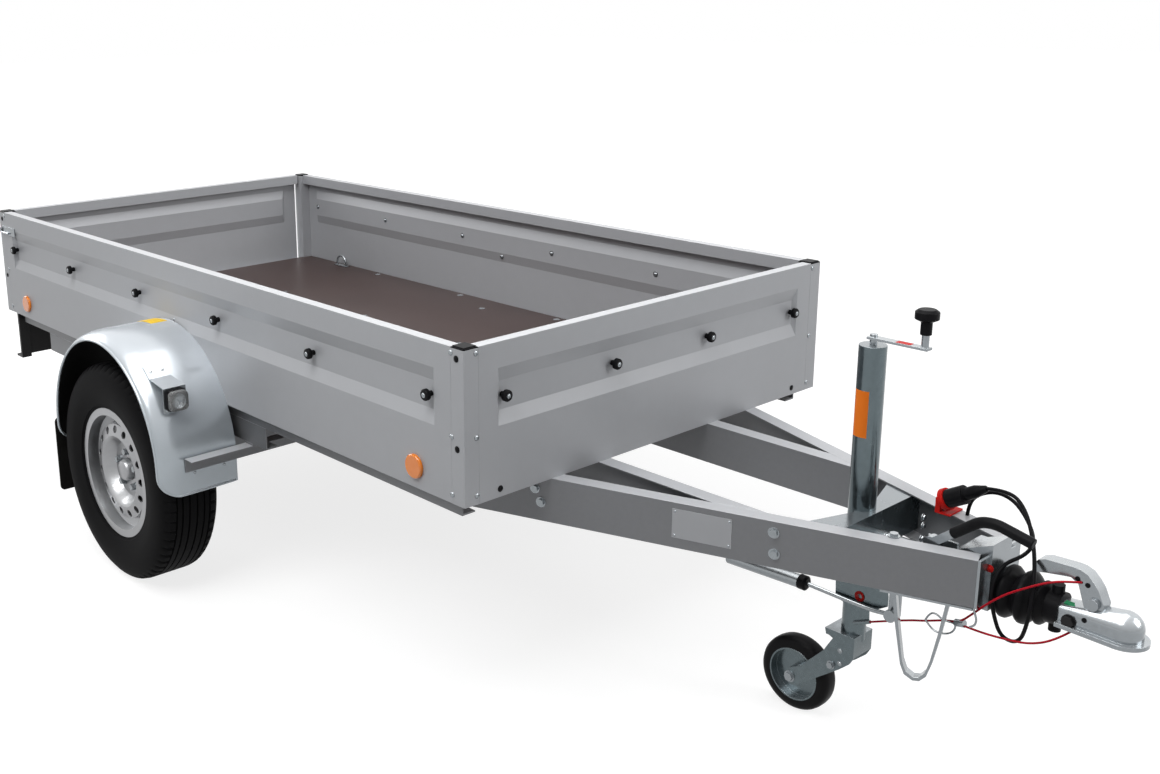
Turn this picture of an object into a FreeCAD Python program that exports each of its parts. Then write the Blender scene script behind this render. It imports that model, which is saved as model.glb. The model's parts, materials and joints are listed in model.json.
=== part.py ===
"""Single-axle braked utility trailer with a flat load bed, parked on its jack.

Lengths are millimetres. X runs forward to the coupling, Y to the left, Z up from the ground.
While it is built, X is counted from the rear face of the load bed; each piece is shifted as it
is written, so that the origin lies on the ground under the middle of the whole trailer.
"""
import math
import os

import FreeCAD
import Part

V = FreeCAD.Vector

# Load bed
bed_length = 2570.0
bed_width = 1340.0
bed_z = 560.0
wall_height = 370.0
sheet = 3.0
rail_width = 30.0
rail_lip = 36.0
swage_low = 172.0
swage_high = 309.0
swage_slope = 34.0
swage_end_slope = 12.0
swage_depth = 10.0
swage_margin = 58.0
post_size = 44.0
post_cap_size = 38.0
post_cap_rise = 3.0
floor_thickness = 15.0
floor_gap = 2.0
gate_gap = 6.0

# Tarpaulin knobs and reflectors
knob_z = 242.0
knob_first_x = 122.0
knob_side_count = 6
knob_front_inset = 122.0
knob_gate_inset = 130.0
knob_inner_share = 0.27
knob_head_r = 14.0
knob_stem_r = 7.0
knob_stem_length = 13.0
knob_head_thick = 12.0
reflector_r = 30.0
reflector_thick = 9.0
reflector_z = 54.0
reflector_rear_inset = 187.0
reflector_front_inset = 175.0

# Drawbar and chassis
beam_front_height = 105.0
beam_rear_height = 116.0
beam_flange = 40.0
beam_wall = 4.0
beam_ahead = 895.0
beam_behind = 340.0
beam_front_y = 84.0
beam_at_bed_y = 395.0
rail_y = 190.0
rail_flange = 42.0
rail_height = 108.0
frame_width = 40.0
frame_height = 40.0
frame_rear_x = 72.0
axle_beam_height = 64.0
axle_beam_behind = 960.0
axle_beam_ahead = 453.0
cross_member_shares = (0.249, 0.4475, 0.642, 0.828)
cross_member_width = 50.0
end_member_width = 40.0
end_member_height = 60.0

# Axle, wheels and brakes
axle_x = 1247.0
tyre_r = 325.0
tyre_width = 188.0
tread_width = 136.0
tyre_side_share = 0.48
tyre_shoulder_share = 0.2
wheel_out = 136.0
rim_flange_r = 195.0
rim_seat_r = 177.0
rim_well_r = 152.0
rim_half_width = 78.0
rim_wall = 4.0
rim_well_share = 0.33
rim_step_share = 0.5
rim_offset = 30.0
rim_crown_r = 108.0
rim_crown_rise = 34.0
rim_hub_r = 82.0
rim_bore_r = 34.0
vent_count = 15
vent_ring_r = 128.0
vent_r = 11.0
hub_cap_r = 32.0
hub_cap_length = 26.0
drum_r = 115.0
drum_depth = 78.0
drum_wall = 6.0
backplate_r = 120.0
backplate_gap = 6.0
spindle_r = 20.0
spindle_play = 0.05
arm_length = 140.0
arm_drop = 25.0
arm_thick = 28.0
arm_end_r = 34.0
arm_wheel_gap = 6.0
tube_size = 80.0
tube_round = 14.0
torsion_r = 24.0
axle_bracket_length = 190.0
axle_bracket_thick = 6.0

# Fenders
fender_r = 341.0
fender_top = 753.0
fender_out = 242.0
fender_sheet = 3.0
fender_shoulder = 58.0
fender_lip = 20.0
fender_leg = 68.0
fender_bar_leg = 40.0
fender_bar_wall = 4.0
fender_bar_inner_reach = 220.0
fender_bar_outer_reach = 195.0
flap_width = 224.0
flap_height = 240.0
flap_thick = 5.0
flap_overlap = 70.0

# Front position lamps
lamp_size = 70.0
lamp_depth = 30.0
lamp_round = 8.0
lamp_inset = 76.0
lamp_z = 616.0
lamp_ahead = 328.0
lamp_plate = 3.0

# Tie-down loops
loop_wire_r = 4.0
loop_width = 60.0
loop_height = 42.0
loop_shares = (0.12, 0.88)
loop_wall_gap = 34.0
loop_foot = 22.0

# Tailgate hinges and latches
hinge_back = 9.0
hinge_drop = 7.0
hinge_knuckle_r = 9.0
hinge_pin_r = 5.0
hinge_pin_play = 0.3
hinge_leaf = 4.0
hinge_width = 90.0
hinge_leaf_height = 60.0
hinge_y_share = 0.34
hinge_side_gap = 1.0
latch_plate_length = 110.0
latch_plate_height = 30.0
latch_plate_thick = 3.0
latch_z = 305.0
latch_wire_r = 3.5
latch_wire_length = 62.0

# Rear lamps and their carrier
rear_lamp_width = 230.0
rear_lamp_height = 100.0
rear_lamp_depth = 34.0
rear_lamp_inset = 58.0
rear_lamp_round = 10.0
carrier_thick = 4.0
carrier_drop = 170.0
carrier_inset = 15.0
foot_bar_width = 36.0
foot_bar_thick = 8.0
foot_bar_drop = 172.0
foot_reach = 50.0

# Jack
jack_ahead = 580.0
jack_tube_r = 30.0
jack_tube_wall = 2.5
jack_tube_top = 925.0
jack_tube_bottom = 368.0
jack_play = 0.5
jack_inner_wall = 3.0
jack_inner_top = 800.0
jack_trail = 137.0
jack_wheel_r = 92.0
jack_wheel_width = 50.0
jack_rim_r = 65.0
jack_tyre_shares = ((1.0, 0.0), (1.0, 0.35), (0.94, 0.62), (0.80, 0.83), (0.55, 0.96), (0.25, 1.0))
jack_rim_wall = 4.0
jack_axle_r = 9.0
jack_fork_gap = 7.0
jack_fork_plate = 5.0
jack_fork_rise = 162.0
jack_fork_head = 18.0
jack_fork_shares = ((1.19, 1.0), (0.63, 1.0), (0.65, 0.93), (0.79, 0.88), (0.68, 0.72),
                    (0.63, 0.64), (0.47, 0.49), (0.20, 0.24), (0.0, 0.14), (-0.10, 0.02),
                    (-0.07, -0.08), (0.02, -0.13), (0.14, -0.10), (0.32, 0.02), (0.58, 0.20),
                    (0.94, 0.44), (1.12, 0.58), (1.19, 0.69))
jack_cap_height = 14.0
jack_spindle_r = 8.0
crank_rise = 19.0
crank_reach = 119.0
crank_bar = 12.0
crank_bar_width = 22.0
crank_pin_length = 33.0
crank_knob_height = 55.0
crank_knob_r = 25.0
crank_knob_neck_r = 12.0
crank_knob_neck_share = 0.5
crank_knob_swell_share = 0.62
crank_knob_edge_share = 0.9
crank_knob_round = 7.0
clamp_plate_thick = 6.0
clamp_plate_height = 90.0
clamp_ear_length = 46.0
clamp_ring_wall = 5.0
gusset_behind = 87.0
hanger_y = 43.0
hanger_thick = 3.0
hanger_behind = 61.0
hanger_drop = 60.0
hanger_length = 131.0
hanger_depth = 199.0
hanger_shares = ((0.27, 0.0), (0.89, 0.0), (1.0, 0.56), (1.0, 0.67), (0.67, 0.81), (0.68, 0.92),
                 (0.37, 1.0), (0.35, 0.85), (0.02, 0.78), (0.0, 0.50))
hanger_hole_shares = (0.48, 0.67)
hanger_hole_r = 9.0
ferrule_r = 4.5
ferrule_length = 45.0

# Overrun device and draw tube
draw_z = 478.0
housing_overhang = 12.0
housing_head_length = 75.0
housing_body_r = 36.0
housing_half_width = 50.0
housing_wall = 6.0
cheek_reach = 66.0
cheek_rise = 10.0
housing_low = 442.0
housing_high = 556.0
hump_rise = 31.0
hump_length = 72.0
hump_width = 80.0
draw_tube_r = 21.0
draw_tube_length = 350.0
draw_play = 0.5
bellows_fold_r = 56.0
bellows_root_r = 42.0
bellows_last_fold_r = 46.0
bellows_collar_r = 35.0
bellows_collar_length = 28.0
bellows_fold_length = 38.0
bellows_fold_shares = ((0.14, 0.30), (0.30, 0.78), (0.42, 1.0), (0.60, 0.98), (0.78, 0.62),
                       (1.0, 0.0))
clamp_nub_r = 12.0
clamp_nub_rise = 50.0
clamp_nub_inset = 14.0

# Coupling
ball_reach = 245.0
ball_z = 484.0
socket_r = 25.2
dome_wall = 10.0
coupling_length = 116.0
coupling_rear_half_width = 29.0
coupling_top_z = 498.0
coupling_shoulder = 13.0
coupling_square_share = 0.8
coupling_wall = 6.0
coupling_grip_length = 50.0
rim_reach = 11.0
rim_thick = 9.0
rim_low_z = 456.0
handle_width = 32.0
handle_plate = 4.0
handle_foot_x = 36.0
handle_foot_z = 503.0
handle_rise = 77.0
handle_length = 140.0
handle_shares = ((0.01, 0.0), (0.0, 0.20), (0.09, 0.56), (0.16, 0.73), (0.26, 0.91), (0.36, 0.98),
                 (0.45, 1.0), (0.85, 0.97), (0.95, 0.90), (0.99, 0.79), (1.0, 0.53), (0.83, 0.61),
                 (0.48, 0.71), (0.37, 0.59), (0.28, 0.11), (0.26, 0.0))
handle_pivot_r = 12.0
handle_pivot_share = 0.14
handle_pivot_rise = 14.0
handle_pivot_thick = 8.0

# Brake push rod and support loop
strut_y = 56.0
strut_ahead = 270.0
strut_length = 215.0
strut_r = 16.0
strut_rod_r = 5.0
strut_rear_z = 346.0
strut_front_z = 354.0
strut_bend_ahead = 613.0
strut_rise_ahead = 651.0
strut_bend_z = 351.0
brake_rod_r = 5.0
relay_ahead = 707.0
relay_z = 362.0
relay_plate = 8.0
relay_width = 26.0
relay_boss_r = 16.0
eye_gap = 6.5
eye_r = 9.0
eye_head_r = 14.0
eye_head_thick = 6.0
support_bar = 8.0
support_bar_width = 22.0
support_inset = 46.0
support_length = 117.0
support_depth = 197.0
support_shares = ((1.0, 0.0), (0.89, 0.42), (0.76, 0.84), (0.68, 0.95), (0.53, 1.0), (0.41, 0.99),
                  (0.30, 0.92), (0.22, 0.76), (0.11, 0.42), (0.0, 0.0))

# Handbrake lever
brake_lever_y = 68.0
brake_lever_thick = 6.0
brake_lever_height = 18.0
brake_pivot_r = 15.0
brake_pivot_ahead = 783.0
brake_pivot_z = 557.0
grip_r = 11.5
grip_start_run = 46.0
grip_start_rise = 36.0
grip_climb_run = 56.0
grip_climb_rise = 44.0
grip_crest_run = 32.0
grip_crest_rise = 5.0
grip_fall_run = 78.0
grip_fall = 18.0

# Plug and its parking cup
plug_r = 21.0
plug_length = 95.0
plug_boot_r = 14.0
plug_exit_r = 7.0
plug_body_share = 0.45
plug_boot_share = 0.72
plug_ring_r = 25.0
plug_ring_length = 12.0
plug_ahead = 732.0
plug_y = 92.0
plug_z = 596.0
plug_tilt = 30.0
socket_plate = 4.0

# Cords: the lighting lead, and the breakaway cable with its loop; x ahead of the bed's front
lead_r = 4.0
lead_route = (
    (870.0, 76.0, 660.0), (920.0, 46.0, 645.0), (964.0, 0.0, 598.0), (988.0, -36.0, 550.0),
    (997.0, -58.0, 506.0), (997.0, -66.0, 455.0), (978.0, -52.0, 398.0), (938.0, -48.0, 396.0),
    (924.0, -60.0, 448.0), (916.0, -66.0, 499.0), (922.0, -42.0, 548.0), (950.0, 6.0, 564.0),
    (958.0, 18.0, 594.0), (930.0, 42.0, 622.0), (880.0, 84.0, 638.0), (828.0, 110.0, 636.0),
    (786.0, 117.0, 616.0), (766.0, 118.0, 590.0), (764.0, 118.0, 560.0))
cable_r = 2.3
cable_route = (
    (649.0, -50.0, 318.0), (736.0, -54.0, 358.0), (779.0, -56.0, 373.0), (824.0, -58.0, 393.0),
    (857.0, -60.0, 402.0), (890.0, -72.0, 439.0), (917.0, -75.0, 471.0), (950.0, -74.0, 503.0),
    (979.0, -66.0, 523.0), (1015.0, -50.0, 544.0), (1041.0, -34.0, 552.0), (1074.0, -14.0, 555.0))
loop_route = (
    (857.0, -60.0, 397.0), (900.0, -63.0, 398.0), (950.0, -68.0, 405.0), (1000.0, -60.0, 409.0),
    (1042.0, -42.0, 427.0), (1072.0, -26.0, 458.0))
clip_r = 8.0
clip_route = ((848.0, -59.5, 397.5), (868.0, -61.0, 402.5))

overrun_cut = 20.0
length_match = 1.0
arc_share = 0.45

half_width = bed_width / 2
bed_top = bed_z + wall_height
frame_y = half_width - rail_width
beam_front_x = bed_length + beam_ahead
beam_rear_x = bed_length - beam_behind
beam_slope = (beam_at_bed_y - beam_front_y) / beam_ahead
axle_beam_low = bed_z - frame_height - axle_beam_height
end_low = bed_z - end_member_height
wheel_y = half_width + wheel_out
fender_outer_y = half_width + fender_out
jack_x = bed_length + jack_ahead
jack_wheel_x = jack_x - jack_trail
crank_z = jack_tube_top + crank_rise
jack_fork_top = jack_wheel_r + jack_fork_rise
clamp_plate_x = jack_x + jack_tube_r + clamp_ring_wall
housing_front_x = beam_front_x + housing_overhang
housing_head_x = housing_front_x - housing_head_length
housing_rear_x = clamp_plate_x + clamp_plate_thick
relay_x = bed_length + relay_ahead
ball_x = housing_front_x + ball_reach
dome_r = socket_r + dome_wall
coupling_rear_x = ball_x - coupling_length
nose_x = ball_x + dome_r + rim_reach
tail_x = -hinge_back - hinge_knuckle_r
middle_x = (nose_x + tail_x) / 2


def block(x0, x1, y0, y1, z0, z1):
    return Part.makeBox(x1 - x0, y1 - y0, z1 - z0, V(x0, y0, z0))


def face_of(points):
    corners = [V(*point) for point in points]
    return Part.Face(Part.makePolygon(corners + corners[:1]))


def plan_prism(points, z0, z1):
    return face_of([(x, y, z0) for x, y in points]).extrude(V(0, 0, z1 - z0))


def side_prism(points, y0, y1):
    return face_of([(x, y0, z) for x, z in points]).extrude(V(0, y1 - y0, 0))


def rod(start, end, radius):
    start, end = V(*start), V(*end)
    return Part.makeCylinder(radius, (end - start).Length, start, end - start)


def ring(start, end, outer, inner):
    return rod(start, end, outer).cut(rod(start, end, inner))


def mirrored(shape):
    return shape.mirror(V(0, 0, 0), V(0, 1, 0))


def joined(shapes):
    whole = shapes[0]
    for shape in shapes[1:]:
        whole = whole.fuse(shape)
    return whole.removeSplitter()


def both_sides(shape):
    return Part.makeCompound([shape, mirrored(shape)])


def turned(profile, centre, axis):
    """Revolve a closed (along, radius) profile about an axis along Y or Z or X."""
    points = [V(r, 0, a) for a, r in profile]
    face = Part.Face(Part.makePolygon(points + points[:1]))
    solid = face.revolve(V(0, 0, 0), V(0, 0, 1), 360)
    turn = FreeCAD.Rotation(V(0, 0, 1), V(*axis))
    return solid.transformed(FreeCAD.Placement(V(*centre), turn).toMatrix())


def route(points):
    """Straight runs joined by tangent arcs, each as wide as its shorter run allows."""
    edges, start = [], points[0]
    for before, corner, after in zip(points, points[1:], points[2:]):
        back, ahead = before - corner, after - corner
        turn = math.pi - back.getAngle(ahead)
        cut = arc_share * min(back.Length, ahead.Length)
        radius = cut / math.tan(turn / 2)
        back.normalize()
        ahead.normalize()
        first, last = corner + back * cut, corner + ahead * cut
        middle = (back + ahead).normalize()
        centre = corner + middle * math.hypot(cut, radius)
        edges += [Part.makeLine(start, first),
                  Part.Arc(first, centre - middle * radius, last).toShape()]
        start = last
    edges.append(Part.makeLine(start, points[-1]))
    return Part.Wire(edges)


def bent_rod(points, radius):
    circle = Part.Wire(Part.makeCircle(radius, points[0], points[1] - points[0]))
    return route(points).makePipeShell([circle], True, True)


def write(name, shape):
    moved = shape.copy()
    moved.translate(V(-middle_x, 0, 0))
    if moved.ShapeType == "Compound" and len(moved.Solids) == 1:
        moved = moved.Solids[0]
    moved.exportStep("parts/" + name + ".step")


# Load bed: pressed sheet walls with a folded top rail
def swage_block(length, low_y, high_y):
    """The hollow of a pressed swage, between two depths, with sloping sides all round."""
    def loop(y):
        inset = swage_slope * y / swage_depth
        end_inset = swage_end_slope * y / swage_depth
        x0, x1 = swage_margin + end_inset, length - swage_margin - end_inset
        z0, z1 = swage_low + inset, swage_high - inset
        return [V(x0, y, z0), V(x1, y, z0), V(x1, y, z1), V(x0, y, z1)]
    low, high = loop(low_y), loop(high_y)
    rings = [low, high] + [[low[i], low[(i + 1) % len(low)], high[(i + 1) % len(low)], high[i]]
                           for i in range(len(low))]
    faces = [Part.Face(Part.makePolygon(corners + corners[:1])) for corners in rings]
    solid = Part.Solid(Part.makeShell(faces))
    if solid.Volume < 0:
        solid.reverse()
    return solid


def wall_panel(length):
    """A wall from x 0 to its length, its outer face at y 0 and its inside towards +Y."""
    outline = [(0, 0), (rail_width, 0), (rail_width, sheet), (sheet, sheet),
               (sheet, wall_height - sheet), (rail_width - sheet, wall_height - sheet),
               (rail_width - sheet, wall_height - rail_lip), (rail_width, wall_height - rail_lip),
               (rail_width, wall_height), (0, wall_height)]
    panel = face_of([(0, y, z) for y, z in outline]).extrude(V(length, 0, 0))
    pressed = swage_block(length, 0, swage_depth)
    inside = pressed.translated(V(0, sheet, 0)).cut(block(0, length, 0, sheet, 0, wall_height))
    outside = swage_block(length, -sheet, swage_depth)
    return panel.fuse(inside).cut(outside).removeSplitter()


def side_panel():
    panel = wall_panel(bed_length - 2 * post_size)
    return panel.translated(V(post_size, -half_width, bed_z))


def front_panel():
    length = bed_width - 2 * post_size
    panel = wall_panel(length)
    panel.rotate(V(0, 0, 0), V(0, 0, 1), 90)
    return panel.translated(V(bed_length, -length / 2, bed_z))


def tailgate():
    length = bed_width - 2 * post_size - 2 * gate_gap
    panel = wall_panel(length)
    panel.rotate(V(0, 0, 0), V(0, 0, 1), -90)
    panel.translate(V(0, length / 2, bed_z))
    leaves = []
    for side in (-1, 1):
        middle = side * hinge_y_share * bed_width
        leaf = block(-hinge_leaf, 0, middle - hinge_width / 2, middle + hinge_width / 2,
                     bed_z - hinge_drop, bed_z + hinge_leaf_height)
        third = hinge_width / 6
        axis_x, axis_z = -hinge_back, bed_z - hinge_drop
        knuckle = ring((axis_x, middle - third, axis_z), (axis_x, middle + third, axis_z),
                       hinge_knuckle_r, hinge_pin_r + hinge_pin_play)
        leaf = leaf.cut(rod((axis_x, middle - hinge_width, axis_z),
                            (axis_x, middle + hinge_width, axis_z), hinge_knuckle_r + gate_gap / 2))
        bridge = block(-hinge_back, 0, middle - third, middle + third,
                       bed_z, bed_z + hinge_knuckle_r + gate_gap)
        bridge = bridge.cut(rod((axis_x, middle - hinge_width, axis_z),
                                (axis_x, middle + hinge_width, axis_z),
                                hinge_pin_r + hinge_pin_play))
        leaves += [leaf, bridge, knuckle]
    return joined([panel] + leaves)


def corner_posts():
    posts = []
    for x0 in (0, bed_length - post_size):
        for y0 in (-half_width, half_width - post_size):
            outer = block(x0, x0 + post_size, y0, y0 + post_size, bed_z, bed_top - sheet)
            bore = block(x0 + sheet, x0 + post_size - sheet, y0 + sheet, y0 + post_size - sheet,
                         bed_z - sheet, bed_top)
            posts.append(outer.cut(bore))
    return Part.makeCompound(posts)


def post_caps():
    caps = []
    half = post_size / 2
    for x in (half, bed_length - half):
        for y in (half - half_width, half_width - half):
            plate = block(x - half, x + half, y - half, y + half, bed_top - sheet, bed_top)
            pad_half = post_cap_size / 2
            pad = block(x - pad_half, x + pad_half, y - pad_half, y + pad_half,
                        bed_top, bed_top + post_cap_rise)
            caps.append(joined([plate, pad]))
    return Part.makeCompound(caps)


def floor_board():
    edge = sheet + floor_gap
    gate_edge = rail_width + gate_gap
    board = block(gate_edge, bed_length - edge, -half_width + edge, half_width - edge,
                  bed_z + sheet, bed_z + sheet + floor_thickness)
    notch = post_size + floor_gap
    for x0, x1 in ((0, notch), (bed_length - notch, bed_length)):
        for side in (-1, 1):
            y0, y1 = sorted((side * half_width, side * (half_width - notch)))
            board = board.cut(block(x0, x1, y0, y1, bed_z, bed_top))
    return board


def knob_at(x, y, axis):
    knob_tip = knob_stem_length + knob_head_thick
    profile = [(0, 0), (0, knob_stem_r), (knob_stem_length, knob_stem_r),
               (knob_stem_length, knob_head_r), (knob_tip - sheet, knob_head_r),
               (knob_tip, knob_head_r - sheet), (knob_tip, 0)]
    return turned(profile, (x, y, bed_z + knob_z), axis)


def knob_row(inset):
    inner = knob_inner_share * half_width
    return (inset - half_width, -inner, inner, half_width - inset)


def tarp_knobs():
    seat = half_width - swage_depth
    pitch = (bed_length - 2 * knob_first_x) / (knob_side_count - 1)
    knobs = []
    for index in range(knob_side_count):
        x = knob_first_x + index * pitch
        knobs += [knob_at(x, -seat, (0, -1, 0)), knob_at(x, seat, (0, 1, 0))]
    knobs += [knob_at(bed_length - swage_depth, y, (1, 0, 0)) for y in knob_row(knob_front_inset)]
    return Part.makeCompound(knobs)


def tailgate_knobs():
    return Part.makeCompound([knob_at(swage_depth, y, (-1, 0, 0))
                              for y in knob_row(knob_gate_inset)])


def side_reflectors():
    edge = reflector_thick / 3
    profile = [(0, 0), (0, reflector_r), (reflector_thick - edge, reflector_r),
               (reflector_thick, reflector_r - edge), (reflector_thick, 0)]
    discs = []
    for x in (reflector_rear_inset, bed_length - reflector_front_inset):
        for side in (-1, 1):
            centre = (x, side * half_width, bed_z + reflector_z)
            discs.append(turned(profile, centre, (0, side, 0)))
    return Part.makeCompound(discs)


def tie_down_loop(x, y):
    low = bed_z + sheet + floor_thickness
    top = low + loop_height
    half = loop_width / 2
    foot = block(x - half - loop_foot / 2, x + half + loop_foot / 2, y - loop_foot / 2,
                 y + loop_foot / 2, low, low + sheet)
    path = Part.Wire([
        Part.makeLine(V(x - half, y, low), V(x - half, y, top - half)),
        Part.Arc(V(x - half, y, top - half), V(x, y, top), V(x + half, y, top - half)).toShape(),
        Part.makeLine(V(x + half, y, top - half), V(x + half, y, low))])
    circle = Part.Wire(Part.makeCircle(loop_wire_r, V(x - half, y, low), V(0, 0, 1)))
    return joined([foot, path.makePipeShell([circle], True, True)])


def tie_down_loops():
    loops = []
    for share in loop_shares:
        for side in (-1, 1):
            loops.append(tie_down_loop(share * bed_length, side * (half_width - loop_wall_gap)))
    return Part.makeCompound(loops)


# Drawbar and chassis
def beam_y(x):
    return beam_front_y + beam_slope * (beam_front_x - x)


def beam_envelope(width, overrun):
    """Everything in plan from the beam's outer face, or beyond it, to a width inwards."""
    slant = width * math.hypot(1, beam_slope)
    rear, front = beam_rear_x, beam_front_x
    return plan_prism([(rear, -beam_y(rear) - overrun), (front, -beam_y(front) - overrun),
                       (front, -beam_y(front) + slant), (rear, -beam_y(rear) + slant)],
                      bed_z - beam_rear_height, bed_z)


def on_beam(shape):
    """Lays a shape drawn from the beam's front end, its web along X, on the right beam."""
    shape.rotate(V(0, 0, 0), V(0, 0, 1), math.degrees(math.atan(beam_slope)))
    return shape.translated(V(beam_front_x, -beam_front_y, bed_z))


def drawbar_beam():
    """Channel with its web outside, deeper towards the bed, laid along the drawbar's slant."""
    length = (beam_front_x - beam_rear_x) * math.hypot(1, beam_slope)
    wall = beam_wall
    front_low, rear_low = -beam_front_height, -beam_rear_height
    web = side_prism([(0, 0), (-length, 0), (-length, rear_low), (0, front_low)], 0, wall)
    upper = side_prism([(0, 0), (-length, 0), (-length, -wall), (0, -wall)], 0, beam_flange)
    lower = side_prism([(0, front_low), (-length, rear_low), (-length, rear_low + wall),
                        (0, front_low + wall)], 0, beam_flange)
    return on_beam(joined([web, upper, lower]))


def channel(x0, x1, outer_y, width, z0, z1):
    """Straight C channel, its web at outer_y and its flanges towards +Y, or -Y if width < 0."""
    wall = math.copysign(beam_wall, width)
    def strip(reach, low, high):
        y0, y1 = sorted((outer_y, outer_y + reach))
        return block(x0, x1, y0, y1, low, high)
    return joined([strip(wall, z0, z1), strip(width, z0, z0 + beam_wall),
                   strip(width, z1 - beam_wall, z1)])


def bed_frame():
    return channel(frame_rear_x, bed_length - post_size, -frame_y, frame_width,
                   bed_z - frame_height, bed_z + sheet)


def axle_beam():
    return channel(axle_x - axle_beam_behind, axle_x + axle_beam_ahead, -frame_y, frame_width,
                   axle_beam_low, bed_z - frame_height)


def chassis_rail():
    end_x = beam_front_x - (rail_y + beam_wall - beam_front_y) / beam_slope
    rail = channel(end_member_width, end_x, -rail_y, -rail_flange, bed_z - rail_height, bed_z)
    return rail.cut(beam_envelope(beam_flange, bed_width))


def hat_member(x0, x1, y0, y1, low, top):
    """Top-hat section across the bed, open at the bottom."""
    hollow = block(x0 + beam_wall, x1 - beam_wall, y0 - sheet, y1 + sheet, low - sheet,
                   top - beam_wall)
    return block(x0, x1, y0, y1, low, top).cut(hollow)


def cross_members():
    members = [hat_member(0, end_member_width, -frame_y, frame_y, end_low, bed_z)]
    inner = frame_y - frame_width
    rail = rail_y + rail_flange
    outside = beam_envelope(beam_flange, bed_width)
    for share in cross_member_shares:
        x = share * bed_length
        for y0, y1 in ((-inner, -rail), (-rail_y, rail_y), (rail, inner)):
            member = hat_member(x, x + cross_member_width, y0, y1, bed_z - frame_height,
                                bed_z + sheet)
            members.append(member.cut(outside).cut(mirrored(outside)))
    return Part.makeCompound(members)


# Axle
def arm_tube_x():
    return axle_x + arm_length * math.cos(math.radians(arm_drop))


def arm_tube_z():
    return tyre_r + arm_length * math.sin(math.radians(arm_drop))


def axle_tube():
    x, z, half = arm_tube_x(), arm_tube_z(), tube_size / 2
    outer = block(x - half, x + half, -frame_y, frame_y, z - half, z + half)
    edges = [edge for edge in outer.Edges if abs(edge.Length - 2 * frame_y) < length_match]
    outer = outer.makeFillet(tube_round, edges)
    saddle = axle_saddle()
    whole = joined([outer, saddle, mirrored(saddle)])
    return whole.cut(rod((x, -bed_width, z), (x, bed_width, z), torsion_r))


def axle_saddle():
    """Seat between the axle tube and the beam above it."""
    x, z = arm_tube_x(), arm_tube_z() + tube_size / 2
    long = axle_bracket_length / 2
    flat = tube_size / 2 - tube_round
    outline = [(x - flat, z), (x + flat, z),
               (x + long, axle_beam_low - axle_bracket_thick), (x + long, axle_beam_low),
               (x - long, axle_beam_low), (x - long, axle_beam_low - axle_bracket_thick)]
    return side_prism(outline, -frame_y, -frame_y + frame_width)


def axle_arm():
    hub = (axle_x, tyre_r)
    tube = (arm_tube_x(), arm_tube_z())
    outer_y = -(wheel_y - rim_half_width - arm_wheel_gap)
    inner_y = outer_y + arm_thick
    ends = [rod((x, outer_y, z), (x, inner_y, z), arm_end_r) for x, z in (hub, tube)]
    drop = math.radians(arm_drop)
    across = (arm_end_r * math.sin(drop), arm_end_r * math.cos(drop))
    web = side_prism([(hub[0] - across[0], hub[1] + across[1]),
                      (tube[0] - across[0], tube[1] + across[1]),
                      (tube[0] + across[0], tube[1] - across[1]),
                      (hub[0] + across[0], hub[1] - across[1])], outer_y, inner_y)
    torsion = rod((tube[0], inner_y, tube[1]), (tube[0], -frame_y / 2, tube[1]), torsion_r)
    face_y = -(wheel_y + drum_face() - drum_depth - backplate_gap)
    plate = rod((axle_x, face_y + drum_wall, tyre_r), (axle_x, face_y, tyre_r), backplate_r)
    boss = rod((axle_x, outer_y, tyre_r), (axle_x, face_y, tyre_r), arm_end_r)
    spindle_end = -(wheel_y + drum_face() - drum_wall)
    spindle = rod((axle_x, outer_y, tyre_r), (axle_x, spindle_end, tyre_r), spindle_r)
    return joined(ends + [web, torsion, plate, boss, spindle])


# Wheels, built about the outward axis through the middle of the tyre
def drum_face():
    return rim_offset - rim_wall


def wheel_place(profile):
    return turned(profile, (axle_x, -wheel_y, tyre_r), (0, -1, 0))


def tyre():
    half, tread = tyre_width / 2, tread_width / 2
    shoulder = (tyre_r - rim_flange_r) * tyre_shoulder_share
    side_r = rim_flange_r + (tyre_r - rim_flange_r) * tyre_side_share
    seat = rim_half_width - rim_wall

    def wall(sign):
        return [V(rim_seat_r, 0, sign * seat), V(rim_flange_r, 0, sign * seat),
                V(rim_flange_r, 0, sign * rim_half_width), V(side_r, 0, sign * half),
                V(tyre_r - shoulder, 0, sign * (half - shoulder / 3)),
                V(tyre_r, 0, sign * tread)]
    edges = []
    for side in (wall(1), wall(-1)):
        edges.append(Part.makeLine(side[0], side[1]))
        edges.append(Part.makeLine(side[1], side[2]))
        edges.append(Part.Arc(side[2], side[3], side[4]).toShape())
        edges.append(Part.makeLine(side[4], side[5]))
    edges.append(Part.makeLine(wall(1)[0], wall(-1)[0]))
    edges.append(Part.makeLine(wall(1)[5], wall(-1)[5]))
    outline = Part.Wire(Part.__sortEdges__(edges))
    solid = Part.Face(outline).revolve(V(0, 0, 0), V(0, 0, 1), 360)
    turn = FreeCAD.Rotation(V(0, 0, 1), V(0, -1, 0))
    return solid.transformed(FreeCAD.Placement(V(axle_x, -wheel_y, tyre_r), turn).toMatrix())


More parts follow.
